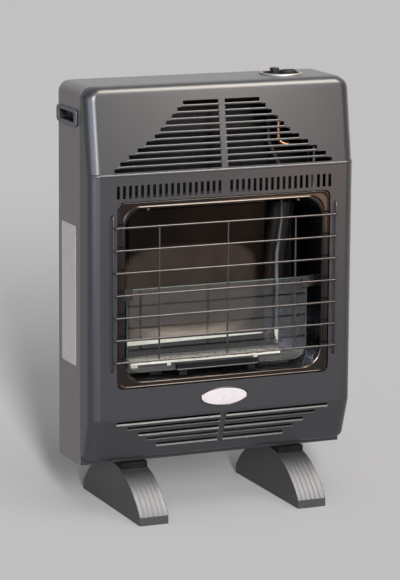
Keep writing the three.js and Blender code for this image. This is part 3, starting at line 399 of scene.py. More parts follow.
def seat(piece, slot, *nodes, body=CABINET):
    """Ties a finished piece to its body and to the frame nodes that it stands for; the finish that it is
    given is not used.
    """
    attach(piece, body)
    if nodes:
        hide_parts(*nodes)

def seat_copies(rows):
    """Seats softened copies of frame nodes on the cabinet, from rows of node, material, finish and width."""
    for node, material, slot, width in rows:
        seat(from_frame(node, material, width), slot, node)
# ---- node trees ----
def feed(node, sockets):
    """Gives sockets their values or links; a node stands for its first output."""
    for name, value in sockets.items():
        if isinstance(value, bpy.types.Node):
            value = value.outputs[0]
        if isinstance(value, bpy.types.NodeSocket):
            node.id_data.links.new(value, node.inputs[name])
        else:
            node.inputs[name].default_value = value
    return node


def put(tree, kind, sockets=None, **settings):
    """Adds a node, with its settings and its sockets."""
    node = tree.nodes.new(kind)
    for name, value in settings.items():
        setattr(node, name, value)
    return feed(node, sockets or {})
def geometry_tree(name, **inputs):
    """A new geometry tree with a geometry input, the named inputs, and a geometry output."""
    tree = bpy.data.node_groups.new(name, "GeometryNodeTree")
    tree.interface.new_socket("Geometry", in_out="INPUT", socket_type="NodeSocketGeometry")
    for label, kind in inputs.items():
        tree.interface.new_socket(label.replace("_", " "), in_out="INPUT", socket_type="NodeSocket" + kind)
    tree.interface.new_socket("Geometry", in_out="OUTPUT", socket_type="NodeSocketGeometry")
    return tree, put(tree, "NodeGroupInput").outputs


def end_tree(tree, geometry, material):
    """Realizes what a tree made, gives it its material and hands it out."""
    real = put(tree, "GeometryNodeRealizeInstances", {"Geometry": geometry})
    smooth = put(tree, "GeometryNodeSetShadeSmooth", {"Geometry": real})
    dressed = put(tree, "GeometryNodeSetMaterial", {"Geometry": smooth, "Material": material})
    put(tree, "NodeGroupOutput", {"Geometry": dressed})


def along(tree, curve, section):
    """Curve to Mesh with closed ends."""
    sockets = {"Curve": curve, "Profile Curve": section, "Fill Caps": True}
    return put(tree, "GeometryNodeCurveToMesh", sockets)


def wire_tree():
    """Round wire or pipe along bent lines."""
    tree, given = geometry_tree("Bent wire", Radius="Float", Bend="Float", Sides="Int", Material="Material")
    curve = put(tree, "GeometryNodeMeshToCurve", {"Mesh": given["Geometry"]})
    corners = {"Curve": curve, "Radius": given["Bend"], "Count": 7, "Limit Radius": True}
    bent = put(tree, "GeometryNodeFilletCurve", corners, mode="POLY")
    around = {"Resolution": given["Sides"], "Radius": given["Radius"]}
    ring = put(tree, "GeometryNodeCurvePrimitiveCircle", around)
    end_tree(tree, along(tree, bent, ring), given["Material"])
    return tree


def bead_tree():
    """An oval bead along lines from left to right, which sinks back into the panel at both ends."""
    tree, given = geometry_tree("Pressed bead", Proud="Float", Half_Height="Float", Taper="Float",
                                Material="Material")
    curve = put(tree, "GeometryNodeMeshToCurve", {"Mesh": given["Geometry"]})
    fine = put(tree, "GeometryNodeResampleCurve", {"Curve": curve, "Count": 48})
    upright = put(tree, "GeometryNodeSetCurveNormal", {"Curve": fine}, mode="Z_UP")
    place = put(tree, "GeometryNodeSplineParameter").outputs["Length"]
    whole = put(tree, "GeometryNodeSplineLength").outputs["Length"]
    rest = put(tree, "ShaderNodeMath", {0: whole, 1: place}, operation="SUBTRACT")
    nearest = put(tree, "ShaderNodeMath", {0: place, 1: rest}, operation="MINIMUM")
    share = put(tree, "ShaderNodeMath", {0: nearest, 1: given["Taper"]}, operation="DIVIDE", use_clamp=True)
    left = put(tree, "ShaderNodeMath", {0: 1.0, 1: share}, operation="SUBTRACT")
    square = put(tree, "ShaderNodeMath", {0: left, 1: left}, operation="MULTIPLY")
    under = put(tree, "ShaderNodeMath", {0: 1.0, 1: square}, operation="SUBTRACT")
    swell = put(tree, "ShaderNodeMath", {0: under, 1: 0.5}, operation="POWER")
    sunk = put(tree, "ShaderNodeMath", {0: 1.0, 1: swell}, operation="SUBTRACT")
    depth = put(tree, "ShaderNodeMath", {0: sunk, 1: given["Proud"]}, operation="MULTIPLY")
    back = put(tree, "ShaderNodeCombineXYZ", {"Y": depth})
    shaped = put(tree, "GeometryNodeSetPosition", {"Geometry": upright, "Offset": back})
    ring = put(tree, "GeometryNodeCurvePrimitiveCircle", {"Resolution": 14, "Radius": 1.0})
    flat = put(tree, "ShaderNodeCombineXYZ", {"X": given["Proud"], "Y": given["Half Height"], "Z": 1.0})
    section = put(tree, "GeometryNodeTransform", {"Geometry": ring, "Scale": flat})
    end_tree(tree, along(tree, shaped, section), given["Material"])
    return tree


def section_tree():
    """A drawn section along a path, both given as lines."""
    tree, given = geometry_tree("Drawn section", Section="Object", Material="Material")
    curve = put(tree, "GeometryNodeMeshToCurve", {"Mesh": given["Geometry"]})
    upright = put(tree, "GeometryNodeSetCurveNormal", {"Curve": curve}, mode="Z_UP")
    drawn = put(tree, "GeometryNodeObjectInfo", {"Object": given["Section"]}).outputs["Geometry"]
    section = put(tree, "GeometryNodeMeshToCurve", {"Mesh": drawn})
    end_tree(tree, along(tree, upright, section), given["Material"])
    return tree


def scatter_tree():
    """The same item at every point, all turned alike."""
    tree, given = geometry_tree("Repeated item", Item="Object", Turn="Vector", Material="Material")
    item = put(tree, "GeometryNodeObjectInfo", {"Object": given["Item"]}).outputs["Geometry"]
    turn = put(tree, "FunctionNodeEulerToRotation", {"Euler": given["Turn"]})
    spots = {"Points": given["Geometry"], "Instance": item, "Rotation": turn}
    placed = put(tree, "GeometryNodeInstanceOnPoints", spots)
    end_tree(tree, placed, given["Material"])
    return tree


def grow(tree, source, name, **values):
    """Runs a tree on a source and keeps the result as a plain mesh object; the source goes."""
    run = source.modifiers.new("grow", "NODES")
    run.node_group = tree
    for item in tree.interface.items_tree:
        if item.in_out == "INPUT" and item.name.replace(" ", "_") in values:
            run[item.identifier] = values[item.name.replace(" ", "_")]
    piece = linked(name, bake(source).data.copy())
    drop(source)
    if not piece.data.polygons:
        raise RuntimeError(name + ": the tree made no faces")
    return tidy(piece)


# ---- finishes ----
def finish(name, shade, second, patch, grain, relief, rough, stretch=(1, 1, 1), soot=None, **sockets):
    """A material whose colour drifts between two shades over patches, with a fine grain; in millimetres.

    A real grain of a tenth of a millimetre or so is too fine to show, and is drawn at 0.5 mm or more.
    A painted lit patch keeps the full colour inside a soft, round-cornered patch and darkens the colour
    outside it as painted shade;
    it is given by the patch's centre, its half sizes and the share of colour left.
    """
    material = bpy.data.materials.new(name)
    material.use_nodes = True
    tree = material.node_tree
    shader = tree.nodes["Principled BSDF"]
    place = put(tree, "ShaderNodeTexCoord").outputs["Object"]
    drift = put(tree, "ShaderNodeTexNoise", {"Vector": place, "Scale": 1000 / patch, "Detail": 3.0})
    blend = put(tree, "ShaderNodeValToRGB", {"Fac": drift})
    for element, position, code in zip(blend.color_ramp.elements, (0.35, 0.65), (shade, second)):
        element.position = position
        element.color = (*(linear(code) if isinstance(code, str) else code), 1)
    drawn = put(tree, "ShaderNodeMapping", {"Vector": place, "Scale": stretch})
    fine = put(tree, "ShaderNodeTexNoise", {"Vector": drawn, "Scale": 1000 / grain, "Detail": 2.0})
    spread = {"Value": fine, "From Min": 0.3, "From Max": 0.7, "To Min": rough[0], "To Max": rough[1]}
    dull = put(tree, "ShaderNodeMapRange", spread)
    bump = put(tree, "ShaderNodeBump", {"Height": fine, "Distance": relief * MM, "Strength": 1.0})
    shown = blend
    # Painted light: full colour inside the patch, painted shade outside it.
    if soot:
        centre, radii, left = soot
        scale = [1000 / radius for radius in radii]
        shift = [-middle / radius for middle, radius in zip(centre, radii)]
        near = put(tree, "ShaderNodeMapping", {"Vector": place, "Scale": scale, "Location": shift})
        square = put(tree, "ShaderNodeVectorMath", {0: near, 1: near}, operation="MULTIPLY")
        reach = put(tree, "ShaderNodeVectorMath", {0: square}, operation="LENGTH").outputs["Value"]
        fade = {"Value": reach, "From Min": 0.85, "From Max": 1.1, "To Min": 1.0, "To Max": left}
        share = put(tree, "ShaderNodeMapRange", fade, interpolation_type="SMOOTHSTEP")
        shown = put(tree, "ShaderNodeVectorMath", {0: shown, 1: share}, operation="MULTIPLY")
    feed(shader, {"Base Color": shown, "Roughness": dull, "Normal": bump})
    feed(shader, {socket.replace("_", " "): value for socket, value in sockets.items()})
    return material


def toned(shade, factor):
    """A colour made lighter or darker."""
    return tuple(min(1.0, channel * factor) for channel in shade)


def enamel(name, shade):
    """Satin stove enamel: a soft sheen over a faint orange peel."""
    return finish(name, toned(shade, 0.95), toned(shade, 1.05), 90, 2.2, 0.003, (0.35, 0.39),
                  Coat_Weight=0.2, Coat_Roughness=0.32)


def primer():
    """Dull near-black primer. On the inside of the sheets and on the feet's necks it is painted shade."""
    return finish("dark primer", "#111111", "#181819", 30, 1.4, 0.01, (0.75, 0.85), Specular_IOR_Level=0.1)


def bronzed_steel(shade):
    """Bronzed sheet steel under clear lacquer: warm, tight reflections, fine draw marks along the sheet."""
    return finish("bronzed steel", toned(shade, 0.9), toned(shade, 1.1), 40, 0.8, 0.0, (0.16, 0.22),
                  (0.05, 1, 1), Metallic=1.0, Coat_Weight=0.35, Coat_Roughness=0.12)


def heated_steel():
    """Reflector steel that heat has browned, with a painted reflection: full colour in a round-cornered patch
    behind the flames, and painted shade darkening it all round.
    """
    return finish("heat-browned steel", "#403a36", "#4a433e", 55, 1.6, 0.0, (0.3, 0.36), (1, 1, 0.08),
                  soot=((-12, 30, 338), (116, 400, 73), 0.22), Metallic=1.0)


def liner_steel():
    """Polished sheet that mirrors the room in streaks, with a painted reflection: full colour in a patch at
    its lower right, and painted shade darkening it elsewhere.
    """
    return finish("dark polished steel", "#5e5e66", "#6e6e76", 14, 2.0, 0.0, (0.2, 0.28),
                  soot=((150, -30, 238), (66, 300, 56), 0.3), Metallic=1.0)


def smoked_steel():
    """Dark oxidised sheet, dull and slightly mottled."""
    return finish("oxidised steel", "#151312", "#1c1917", 18, 1.2, 0.004, (0.6, 0.7), Metallic=0.3)


def plated_wire(shade):
    """Bright plated wire, drawn smooth."""
    return finish("plated wire", toned(shade, 0.92), toned(shade, 1.06), 25, 0.7, 0.002, (0.28, 0.38),
                  Metallic=1.0)


def bright_sheet():
    """Bright, slightly crumpled aluminium strip."""
    return finish("bright aluminium", "#f6f1e6", "#fdf9f0", 9, 3.0, 0.1, (0.3, 0.5), Metallic=0.3)


def ribbed_aluminium(shade):
    """Drawn aluminium: satin streaks that follow the foot from toe to heel."""
    return finish("drawn aluminium", toned(shade, 0.94), toned(shade, 1.04), 40, 0.6, 0.001, (0.46, 0.52),
                  (1, 0.04, 0.04), Metallic=0.85)


def port_steel():
    """Burner ribbons: pale grey, powdery and spotted by heat."""
    return finish("burner ribbon steel", "#66625d", "#a8a39b", 3.5, 0.9, 0.03, (0.55, 0.75), Metallic=0.3)


def cast_iron():
    """Sandy dark casting."""
    return finish("cast iron", "#4a4642", "#5c5751", 12, 1.0, 0.04, (0.55, 0.7), Metallic=0.6)


def brass():
    """Machined brass, a little dulled."""
    return finish("brass", "#a9863f", "#bd9a55", 10, 0.5, 0.003, (0.28, 0.4), Metallic=1.0)


def sooted_brass():
    """Brass that the pilot flame has dulled and browned."""
    return finish("sooted brass", "#4f4637", "#62563f", 6, 0.6, 0.004, (0.45, 0.6), Metallic=0.9)


def copper():
    """Soft drawn copper pipe with a warm tarnish, and painted shade that darkens it outside a patch below the
    valve, where its glints show.
    """
    return finish("copper", "#c48a66", "#d29c7a", 16, 0.9, 0.003, (0.26, 0.38),
                  soot=((137, 21.5, 602), (15, 60, 40), 0.15), Metallic=1.0)


def die_cast():
    """Matt grey die casting of the valve."""
    return finish("die-cast alloy", "#a3a29e", "#b6b5b0", 8, 0.7, 0.02, (0.42, 0.55), Metallic=0.8)


def glazed_ceramic():
    """White fired ceramic with a low glaze."""
    return finish("fired ceramic", "#dedace", "#ece9df", 6, 0.8, 0.006, (0.3, 0.45),
                  Subsurface_Weight=0.1, Subsurface_Scale=0.001)


def chrome():
    """Chrome plating with a worn, satin shine."""
    return finish("chrome", "#8c8a88", "#969492", 30, 1.0, 0.0, (0.52, 0.58), Metallic=0.85)


def dark_chrome():
    """Smoked chrome plating of the badge's bead."""
    return finish("smoked chrome", "#57504b", "#635b55", 30, 1.0, 0.0008, (0.1, 0.16), Metallic=1.0)


def moulded(name, light, dark, grain=0.7, relief=0.02, rough=(0.42, 0.55), gloss=0.5, soot=None):
    """Moulded plastic with a fine spark-eroded grain."""
    return finish(name, dark, light, 30, grain, relief, rough, soot=soot, Specular_IOR_Level=gloss)


def pale_film(name, shade, rough):
    """Smooth pale film, faintly uneven where it is stuck down."""
    return finish(name, toned(shade, 0.97), toned(shade, 1.02), 25, 4.0, 0.01, rough,
                  Coat_Weight=0.3, Coat_Roughness=0.15)


def clear_glass():
    """Clear heatproof glass with a faint green body."""
    return finish("clear glass", "#fafdfb", "#fcfefd", 80, 60, 0.0, (0.0, 0.0),
                  Transmission_Weight=1.0, IOR=1.58)


def glass_edge():
    """Ground edge of the glass, where its green body shows."""
    return finish("ground glass edge", "#3f625c", "#5f8580", 12, 1.0, 0.01, (0.25, 0.4),
                  Transmission_Weight=0.5, IOR=1.47)


# Each finish is made once and shared.
made_finishes = {}


def shared(make, *values):
    """The material of a finish, made at its first use."""
    key = (make.__name__, str(values[0]) if values and isinstance(values[0], str) else "")
    if key not in made_finishes:
        made_finishes[key] = make(*values)
    return made_finishes[key]


def picked(name):
    """A colour of the settings."""
    return tuple(getattr(bpy.context.scene.heater_colours, name))


def sizes():
    return bpy.context.scene.heater_sizes


def casing_paint():
    return shared(enamel, "charcoal enamel", picked("casing"))


def cabinet_paint():
    return shared(enamel, "grey enamel", picked("cabinet"))


def black_plastic():
    return shared(moulded, "black plastic", "#1d1a18", "#151312", 0.7, 0.02, (0.5, 0.6), 0.25)


def foot_plastic():
    shade = picked("foot")
    return shared(moulded, "charcoal plastic", toned(shade, 1.05), toned(shade, 0.95), 0.9, 0.03)


def grip_plastic():
    return shared(moulded, "grey plastic", "#54545a", "#4a4a50")


# The sleeve keeps its full colour in a patch low in the firebox and is darkened above it: painted shade
# behind the casing.
def lead_sleeve():
    return shared(moulded, "silicone sleeve", "#4c4c50", "#424246", 1.0, 0.01, (0.5, 0.6), 0.5,
                  ((130, 10, 290), (100, 200, 115), 0.4))


def guard_wire():
    return shared(plated_wire, picked("wire"))


# ---- casing ----
# Depth behind the flat face of the sloping panel at its ledge and its top, and of the bevel at its foot.
LEDGE_DEPTH, UPPER_DEPTH, BEVEL_DEPTH = 3, 24, 23
UPPER_LEAN, BEVEL_LEAN = (UPPER_DEPTH - LEDGE_DEPTH) / UPPER_HEIGHT, BEVEL_DEPTH / BEVEL_HEIGHT
UPPER_ANGLE, BEVEL_ANGLE = math.atan(UPPER_LEAN), math.atan(BEVEL_LEAN)
# Radii of the folds, then of the corners seen from the front.
TOP_EDGE, BOTTOM_EDGE, UPRIGHT_EDGE = 15, 8, 18
CORNER, FOOT_CORNER = 20, 9
# The ledge is a small roll that stands out past the flat face.
LEDGE_ROLL, LEDGE_PROUD = 3.2, 0.6
LEDGE_FOOT = LEDGE - LEDGE_ROLL - math.sqrt(LEDGE_ROLL**2 - (LEDGE_ROLL - LEDGE_PROUD) ** 2)
TOP_ARC_Z, BOTTOM_ARC_Z = TOP - TOP_EDGE, CASING_FOOT + BOTTOM_EDGE
TOP_ARC_RISE = TOP_ARC_Z + TOP_EDGE * math.sin(UPPER_ANGLE) - LEDGE
TOP_ARC_DEPTH = LEDGE_DEPTH + UPPER_LEAN * TOP_ARC_RISE + TOP_EDGE * math.cos(UPPER_ANGLE)
BOTTOM_ARC_DROP = BEVEL_TOP - BOTTOM_ARC_Z + BOTTOM_EDGE * math.sin(BEVEL_ANGLE)
BOTTOM_ARC_DEPTH = BEVEL_LEAN * BOTTOM_ARC_DROP + BOTTOM_EDGE * math.cos(BEVEL_ANGLE)


def skin_depth(z, inset=0.0):
    """How far behind the flat face the casing's skin is at a height."""
    top, bottom = TOP_EDGE - inset, BOTTOM_EDGE - inset
    if z > TOP_ARC_Z + top * math.sin(UPPER_ANGLE):
        return TOP_ARC_DEPTH - math.sqrt(max(0.0, top**2 - (z - TOP_ARC_Z) ** 2))
    if z < BOTTOM_ARC_Z - bottom * math.sin(BEVEL_ANGLE):
        return BOTTOM_ARC_DEPTH - math.sqrt(max(0.0, bottom**2 - (BOTTOM_ARC_Z - z) ** 2))
    if z >= LEDGE:
        return LEDGE_DEPTH + UPPER_LEAN * (z - LEDGE) + inset / math.cos(UPPER_ANGLE)
    if z > LEDGE_FOOT:
        return LEDGE_ROLL - LEDGE_PROUD + inset - math.sqrt(LEDGE_ROLL**2 - (z - LEDGE + LEDGE_ROLL) ** 2)
    if z < BEVEL_TOP:
        return BEVEL_LEAN * (BEVEL_TOP - z) + inset / math.cos(BEVEL_ANGLE)
    return inset


def skin_y(z):
    return FACE_Y + skin_depth(z)


def casing_ring(z, inset):
    """One level of the casing's skin, from its right rear edge round the front to its left rear edge."""
    front = FACE_Y + skin_depth(z, inset)
    corner = CORNER if z > BEVEL_TOP else FOOT_CORNER
    past = max(z - (TOP - corner), CASING_FOOT + corner - z, 0.0)
    half = HALF_WIDTH - corner + math.sqrt(max(0.0, (corner - inset) ** 2 - past**2))
    edge = min(UPRIGHT_EDGE - inset, 0.9 * (SEAM_Y - front))
    turn = [math.radians(90 * k / 9) for k in range(10)]
    right = [(half - edge + edge * math.cos(a), front + edge - edge * math.sin(a), z) for a in turn]
    left = [(-x, y, z) for x, y, z in reversed(right)]
    return [(half, SEAM_Y, z)] + right + left + [(-half, SEAM_Y, z)]


def casing_levels(inset):
    """Heights at which the skin bends."""
    shares = [math.sin(math.radians(90 * k / 10)) for k in range(1, 11)]
    low, high = CASING_FOOT + FOOT_CORNER, TOP - CORNER
    roll = [LEDGE - LEDGE_ROLL * (1 - math.sin(math.radians(a))) for a in (-20, 0, 20, 35, 50, 65, 77, 86)]
    folds = [BOTTOM_ARC_Z - (BOTTOM_EDGE - inset) * math.sin(BEVEL_ANGLE), low, BEVEL_TOP - 3, BEVEL_TOP]
    folds += [BEVEL_TOP + 3, LEDGE_FOOT, *roll, LEDGE, high]
    folds.append(TOP_ARC_Z + (TOP_EDGE - inset) * math.sin(UPPER_ANGLE))
    foot = [low - share * (FOOT_CORNER - inset) for share in shares]
    head = [high + share * (CORNER - inset) for share in shares]
    return sorted(foot + head + folds)


def casing_shell(material):
    """The folded sheet of the casing, open at the back."""
    outer = [casing_ring(z, 0.0) for z in casing_levels(0.0)]
    inner = [casing_ring(z, SHEET) for z in casing_levels(SHEET)]
    count, rows = len(outer[0]), len(outer)
    inside = count * rows
    faces = []
    for i in range(rows - 1):
        for j in range(count - 1):
            a = i * count + j
            faces.append((a, a + 1, a + 1 + count, a + count))
            faces.append((inside + a, inside + a + count, inside + a + 1 + count, inside + a + 1))
        for j in (0, count - 1):
            a, b = i * count + j, (i + 1) * count + j
            faces.append((a, b, inside + b, inside + a))
    for row in (0, rows - 1):
        first, last = row * count, row * count + count - 1
        faces.append(tuple(range(first, last + 1)))
        faces.append(tuple(range(inside + first, inside + last + 1)))
        faces.append((first, last, inside + last, inside + first))
    return mesh_piece("casing_shell", [p for ring in outer + inner for p in ring], faces, material)


LOUVRE_STEPS = (0, 10, 10, 10, 10, 10, 15, 15, 15, 15, 10)  # how much longer each slot is than the one above
GRILLE_SIDES = (43, 63, 83, 99, 115)  # from the casing's side to each slot's end
LOUVRE_PITCH, GRILLE_PITCH = 10, 10.4


def louvre_rows():
    """Height and half length of each louvre slot, from the top."""
    half = HALF_WIDTH - 40 - sum(LOUVRE_STEPS)
    for row, step in enumerate(LOUVRE_STEPS):
        half += step
        yield TOP - 28 - row * LOUVRE_PITCH * math.cos(UPPER_ANGLE), half


def grille_rows():
    """Height and half length of each lower slot, from the top."""
    for row, side in enumerate(GRILLE_SIDES):
        yield BEVEL_TOP - 5 - row * GRILLE_PITCH, HALF_WIDTH - side


def slot_pair(start, end, z, tall):
    """Cutters for a slot and its mirror image."""
    reach = (CUT_FRONT, CUT_BACK, z - tall / 2, z + tall / 2)
    return [block(*sorted((s * start, s * end)), *reach) for s in (-1, 1)]


class HEATER_OT_casing(bpy.types.Operator):
    """Folds the front casing and cuts its slots and its firebox opening"""

    bl_idname = "heater.casing"
    bl_label = "Front casing"

    def execute(self, context):
        shell = casing_shell(casing_paint())
        mouth = drawn_in(facing_y, (-181.5, 181.5, 210.5, 505.5), 10, ((0, CUT_FRONT), (0, CUT_BACK)))
        cutters = [skinned("mouth", mouth, None)]
        for z, half in louvre_rows():
            cutters += slot_pair(5.4, half, z, 6.2)
        for z, half in grille_rows():
            cutters += slot_pair(5.0, half, z, 5.0)
        for i in range(1, 19):
            cutters += slot_pair(i * 10 - 2.5, i * 10 + 2.5, LEDGE - 29, 20.5)
        for x in (-GUARD_HALF, GUARD_HALF):
            for z in GUARD_ENDS:
                cutters.append(turned("hole", [(2.1, CUT_FRONT), (2.1, CUT_BACK)], x, z, None, 16, facing_y))
        cut(shell, cutters)
        soften(shell, sizes().edge_round)
        # The inner faces of the casing are near black: painted shade.
        line_inside(shell, lambda at, out: out.y > 0.3 or (at - Vector((0, 0, at.z))).dot(out) < -60)
        seat(shell, "casing_paint", "front_casing")
        return {"FINISHED"}


class HEATER_OT_louvre_fins(bpy.types.Operator):
    """Presses a rounded fin between each two louvre slots"""

    bl_idname = "heater.louvre_fins"
    bl_label = "Louvre fins"

    def execute(self, context):
        given = sizes()
        rows = list(louvre_rows())
        paths = []
        for (z, half), (below, _) in zip(rows, rows[1:]):
            middle = (z + below) / 2
            y = skin_y(middle) + 0.25
            for s in (-1, 1):
                paths.append([(s * 3.6, y, middle), (s * (half + given.fin_past / MM), y, middle)])
        fins = grow(bead_tree(), lines("fin_lines", paths), "louvre_fins", Proud=given.fin_proud,
                    Half_Height=given.fin_height / 2, Taper=2.6 * MM, Material=casing_paint())
        seat(fins, "casing_paint")
        return {"FINISHED"}


class HEATER_OT_grille_lips(bpy.types.Operator):
    """Bends a lip out under each lower slot"""

    bl_idname = "heater.grille_lips"
    bl_label = "Lower grille lips"

    def execute(self, context):
        tree = section_tree()
        for name, first, share in (("bold_lips", 0, 1.0), ("fine_lips", 1, 0.6)):
            out = sizes().lip_out / MM * share
            fold = [(out * u, out * v) for u, v in ((0.92, 1.2), (1, 1.4), (0.9, 1.6))]
            section = drawn_section([(-0.6, 0), (0, 0), *fold, (-0.6, out * 2.2)])
            paths = []
            for z, half in list(grille_rows())[first::2]:
                top = z - 0.2 - share
                for x0, x1 in ((-half - 0.5, -4.6), (4.6, half + 0.5)):
                    paths.append([(x0, skin_y(top), top), (x1, skin_y(top), top)])
            lips = grow(tree, lines("lip_lines", paths), name, Section=section, Material=casing_paint())
            drop(section)
            seat(soften(lips, 0, angle=50), "casing_paint")
        return {"FINISHED"}


# ---- cabinet ----
def wrap_loop(inset, y):
    """The cabinet's outline seen from the front, from its left foot over the top to its right foot."""
    half, top, radius = HALF_WIDTH - inset, TOP - inset, 18 - min(inset, 16)
    arc = [math.radians(9 * k) for k in range(11)]
    right = [(half - radius + radius * math.cos(a), y, top - radius + radius * math.sin(a)) for a in arc]
    left = [(-x, y, z) for x, _, z in reversed(right)]
    foot = WRAP_LOW.z
    return [(half, y, foot)] + right + left + [(-half, y, foot)]


class HEATER_OT_cabinet(bpy.types.Operator):
    """Bends the rear cabinet and sets its back panel and base pan"""

    bl_idname = "heater.cabinet"
    bl_label = "Rear cabinet"

    def execute(self, context):
        front, rear, sheet = WRAP_LOW.y, WRAP_HIGH.y, SHEET
        outside = [(0.0, front), (0.0, rear - 2), (0.6, rear - 0.6), (2.0, rear), (12.0, rear)]
        inside = [(12.0, rear - sheet), (sheet + 1, rear - sheet), (sheet, rear - sheet - 1), (sheet, front)]
        points, faces = skin([wrap_loop(inset, y) for inset, y in outside + inside], closed=True)
        count = len(wrap_loop(0, 0))
        rows = len(outside + inside)
        faces = [face for face in faces if not {face[0] % count, face[1] % count} == {0, count - 1}]
        faces += [tuple(row * count + end for row in range(rows)) for end in (0, count - 1)]
        wrap = mesh_piece("cabinet_shell", points, faces, cabinet_paint())
        cutters = [turned("hole", [(29.6, TOP - 6), (29.6, TOP + 6)], WELL_X, CONTROL_Y, None, 64)]
        slot = (GRIP_Y - 34.3, GRIP_Y + 34.3, GRIP_Z - 9.8, GRIP_Z + 9.8)
        cutters += [block(*sorted((s * 215, s * 235)), *slot) for s in (-1, 1)]
        cut(wrap, cutters)
        soften(wrap, sizes().edge_round)

        # The inner faces of the cabinet are near black: painted shade.
        def hidden(at, out):
            return out.y < -0.5 and at.y > 0 or out.x * at.x < -20 or (out.z < -0.3 and at.z > 300)

        line_inside(wrap, hidden)
        seat(wrap, "cabinet_paint", "cabinet_wrap")
        panel = from_frame("back_panel", cabinet_paint(), 0.3, flatten=False)
        # The back panel's inner face is near black: painted shade.
        line_inside(panel, lambda at, out: out.y < -0.5)
        seat(panel, "cabinet_paint", "back_panel")
        seat(from_frame("base_pan", casing_paint(), 0.3, flatten=False), "cabinet_paint", "base_pan")
        return {"FINISHED"}


class HEATER_OT_side_grips(bpy.types.Operator):
    """Moulds the two side grips with ribbed wells"""

    bl_idname = "heater.side_grips"
    bl_label = "Side grips"

    def execute(self, context):
        y, z = GRIP_Y, GRIP_Z
        # Half length, half height, corner and distance from the heater's middle, going out and back in.
        steps = [
            (34, 9.5, 4, 208), (34, 9.5, 4, 225.3), (43, 13, 6, 225.3), (43, 13, 6, 227.4),
            (42.6, 12.6, 5.6, 228.3), (41.6, 11.6, 5, 228.8), (33.4, 8.9, 4, 228.8), (32.4, 7.9, 3.4, 228.4),
            (32, 7.5, 3, 227.4), (32, 7.5, 3, 210.4), (31.4, 6.9, 2.6, 210),
        ]
        rib_loops = drawn_in(facing_x, (-0.8, 0.8, -6.6, 6.6), 0.5, ((0, 0), (0, 5.4), (0, 6)), steps=2)
        rib = skinned("rib", rib_loops, None)
        for side, s in SIDES:
            loops = [facing_x(rounded(y - a, y + a, z - b, z + b, c), s * x) for a, b, c, x in steps]
            grip = soften(skinned("side_grip_" + side, loops, grip_plastic()), 0.25 * MM)
            # The faces inside the grip's well are black plastic: painted shade in the recess.
            grip.data.materials.append(black_plastic())
            for face in grip.data.polygons:
                if abs(face.center.x) < 227.2 * MM:
                    face.material_index = 1
            seat(grip, "grip_plastic", "side_handle_" + side)
            points = lines("rib_points", [[(s * 210.2, y + step, z)] for step in range(-28, 29, 8)])
            ribs = grow(scatter_tree(), points, "grip_ribs_" + side, Item=rib,
                        Turn=(0, 0, 0 if s > 0 else math.pi), Material=grip_plastic())
            seat(ribs, "grip_plastic")
        drop(rib)
        return {"FINISHED"}


# ---- firebox ----
class HEATER_OT_firebox(bpy.types.Operator):
    """Presses the bronzed frame and the steel liner, and sets the reflector and deflector"""

    bl_idname = "heater.firebox"
    bl_label = "Firebox"

    def execute(self, context):
        steel = shared(bronzed_steel, picked("frame"))
        # Share of the way from the outer edge to the hole, a further inset, and the depth.
        section = [
            (0, 0, -76.8), (0, 0, -78.2), (0, 0.35, -78.75), (0.06, 0.4, -79.0), (0.13, 0.4, -78.9),
            (0.2, 0, -78.3), (0.28, 0, -78.0), (0.6, 0, -77.9), (0.68, 0, -78.3), (0.74, 0, -79.0),
            (0.8, 0, -79.3), (0.86, 0, -79.25), (0.92, 0, -78.8), (0.97, 0, -78.0), (1, 0, -76.9),
            (1, 0, -68.9), (1, -0.6, -68.5), (1, -1.2, -68.9), (1, -1.2, -76.0), (0.8, 0, -76.6),
        ]
        loops = []
        for share, inset, y in section:
            half = 180.3 - 12.3 * share - inset
            low, high = 211.7 + 8.8 * share + inset, 504.3 - 10 * share - inset
            loops.append(facing_y(rounded(-half, half, low, high, 8.8 + 26.2 * share - inset, steps=14), y))
        ring = soften(skinned("firebox_surround", loops, steel, closed=True), 0, angle=70)
        seat(ring, "frame_steel", "firebox_frame")

        # The tub's inset, depth and corner, from its back outside to its back inside.
        steps = [
            (4, 39.6, 32), (0, 39.6, 36.5), (-1, 38.4, 37.5), (-1, -76.4, 37.5), (0, -76.4, 36.5),
            (0, 36.6, 36.5), (0.6, 38.0, 36), (4, 38.6, 32),
        ]
        loops = []
        for i, y, corner in steps:
            loops.append(facing_y(rounded(-169.5 + i, 169.5 - i, 219 + i, 495.8 - i, corner, steps=12), y))
        liner = skinned("firebox_tub", loops, shared(liner_steel))
        lead_hole = turned("hole", [(5, 494), (5, 501)], WELL_X, LEAD_Y, None, 24)
        flue = block(-130, 90, -9.4, 24.6, 494.8, 500.8)
        cutters = [flue, lead_hole, block(139.5, 174.5, -0.5, 9.5, 220, 235)]
        cutters += [block(*sorted((s * 15, s * 125)), -43.5, -34.5, 214, 220) for s in (-1, 1)]
        cut(liner, cutters)
        soften(liner, 0.25 * MM)
        seat(liner, "polished_steel", "firebox_liner")
        seat_copies([
            ("rear_reflector", shared(heated_steel), "polished_steel", 0.25),
            ("heat_deflector", shared(smoked_steel), "dark_steel", 0.25),
            ("liner_bracket_left", shared(smoked_steel), "dark_steel", 0.25),
            ("liner_bracket_right", shared(smoked_steel), "dark_steel", 0.25),
            ("reflector_lip", shared(bright_sheet), "bright_strip", 0.25),
            ("glass_channel", shared(primer), "dark_steel", 0.25),
        ])
        low, high = node_box("glass_channel")
        foot = high.z - 8.2
        line = lines("roll_line", [[(low.x + 1, low.y - 0.2, foot), (high.x - 1, low.y - 0.2, foot)]])
        roll = grow(bead_tree(), line, "channel_roll", Proud=0.9 * MM, Half_Height=1.1 * MM, Taper=1.5 * MM,
                    Material=shared(ribbed_aluminium, picked("trim")))
        seat(roll, "wire_steel")
        return {"FINISHED"}


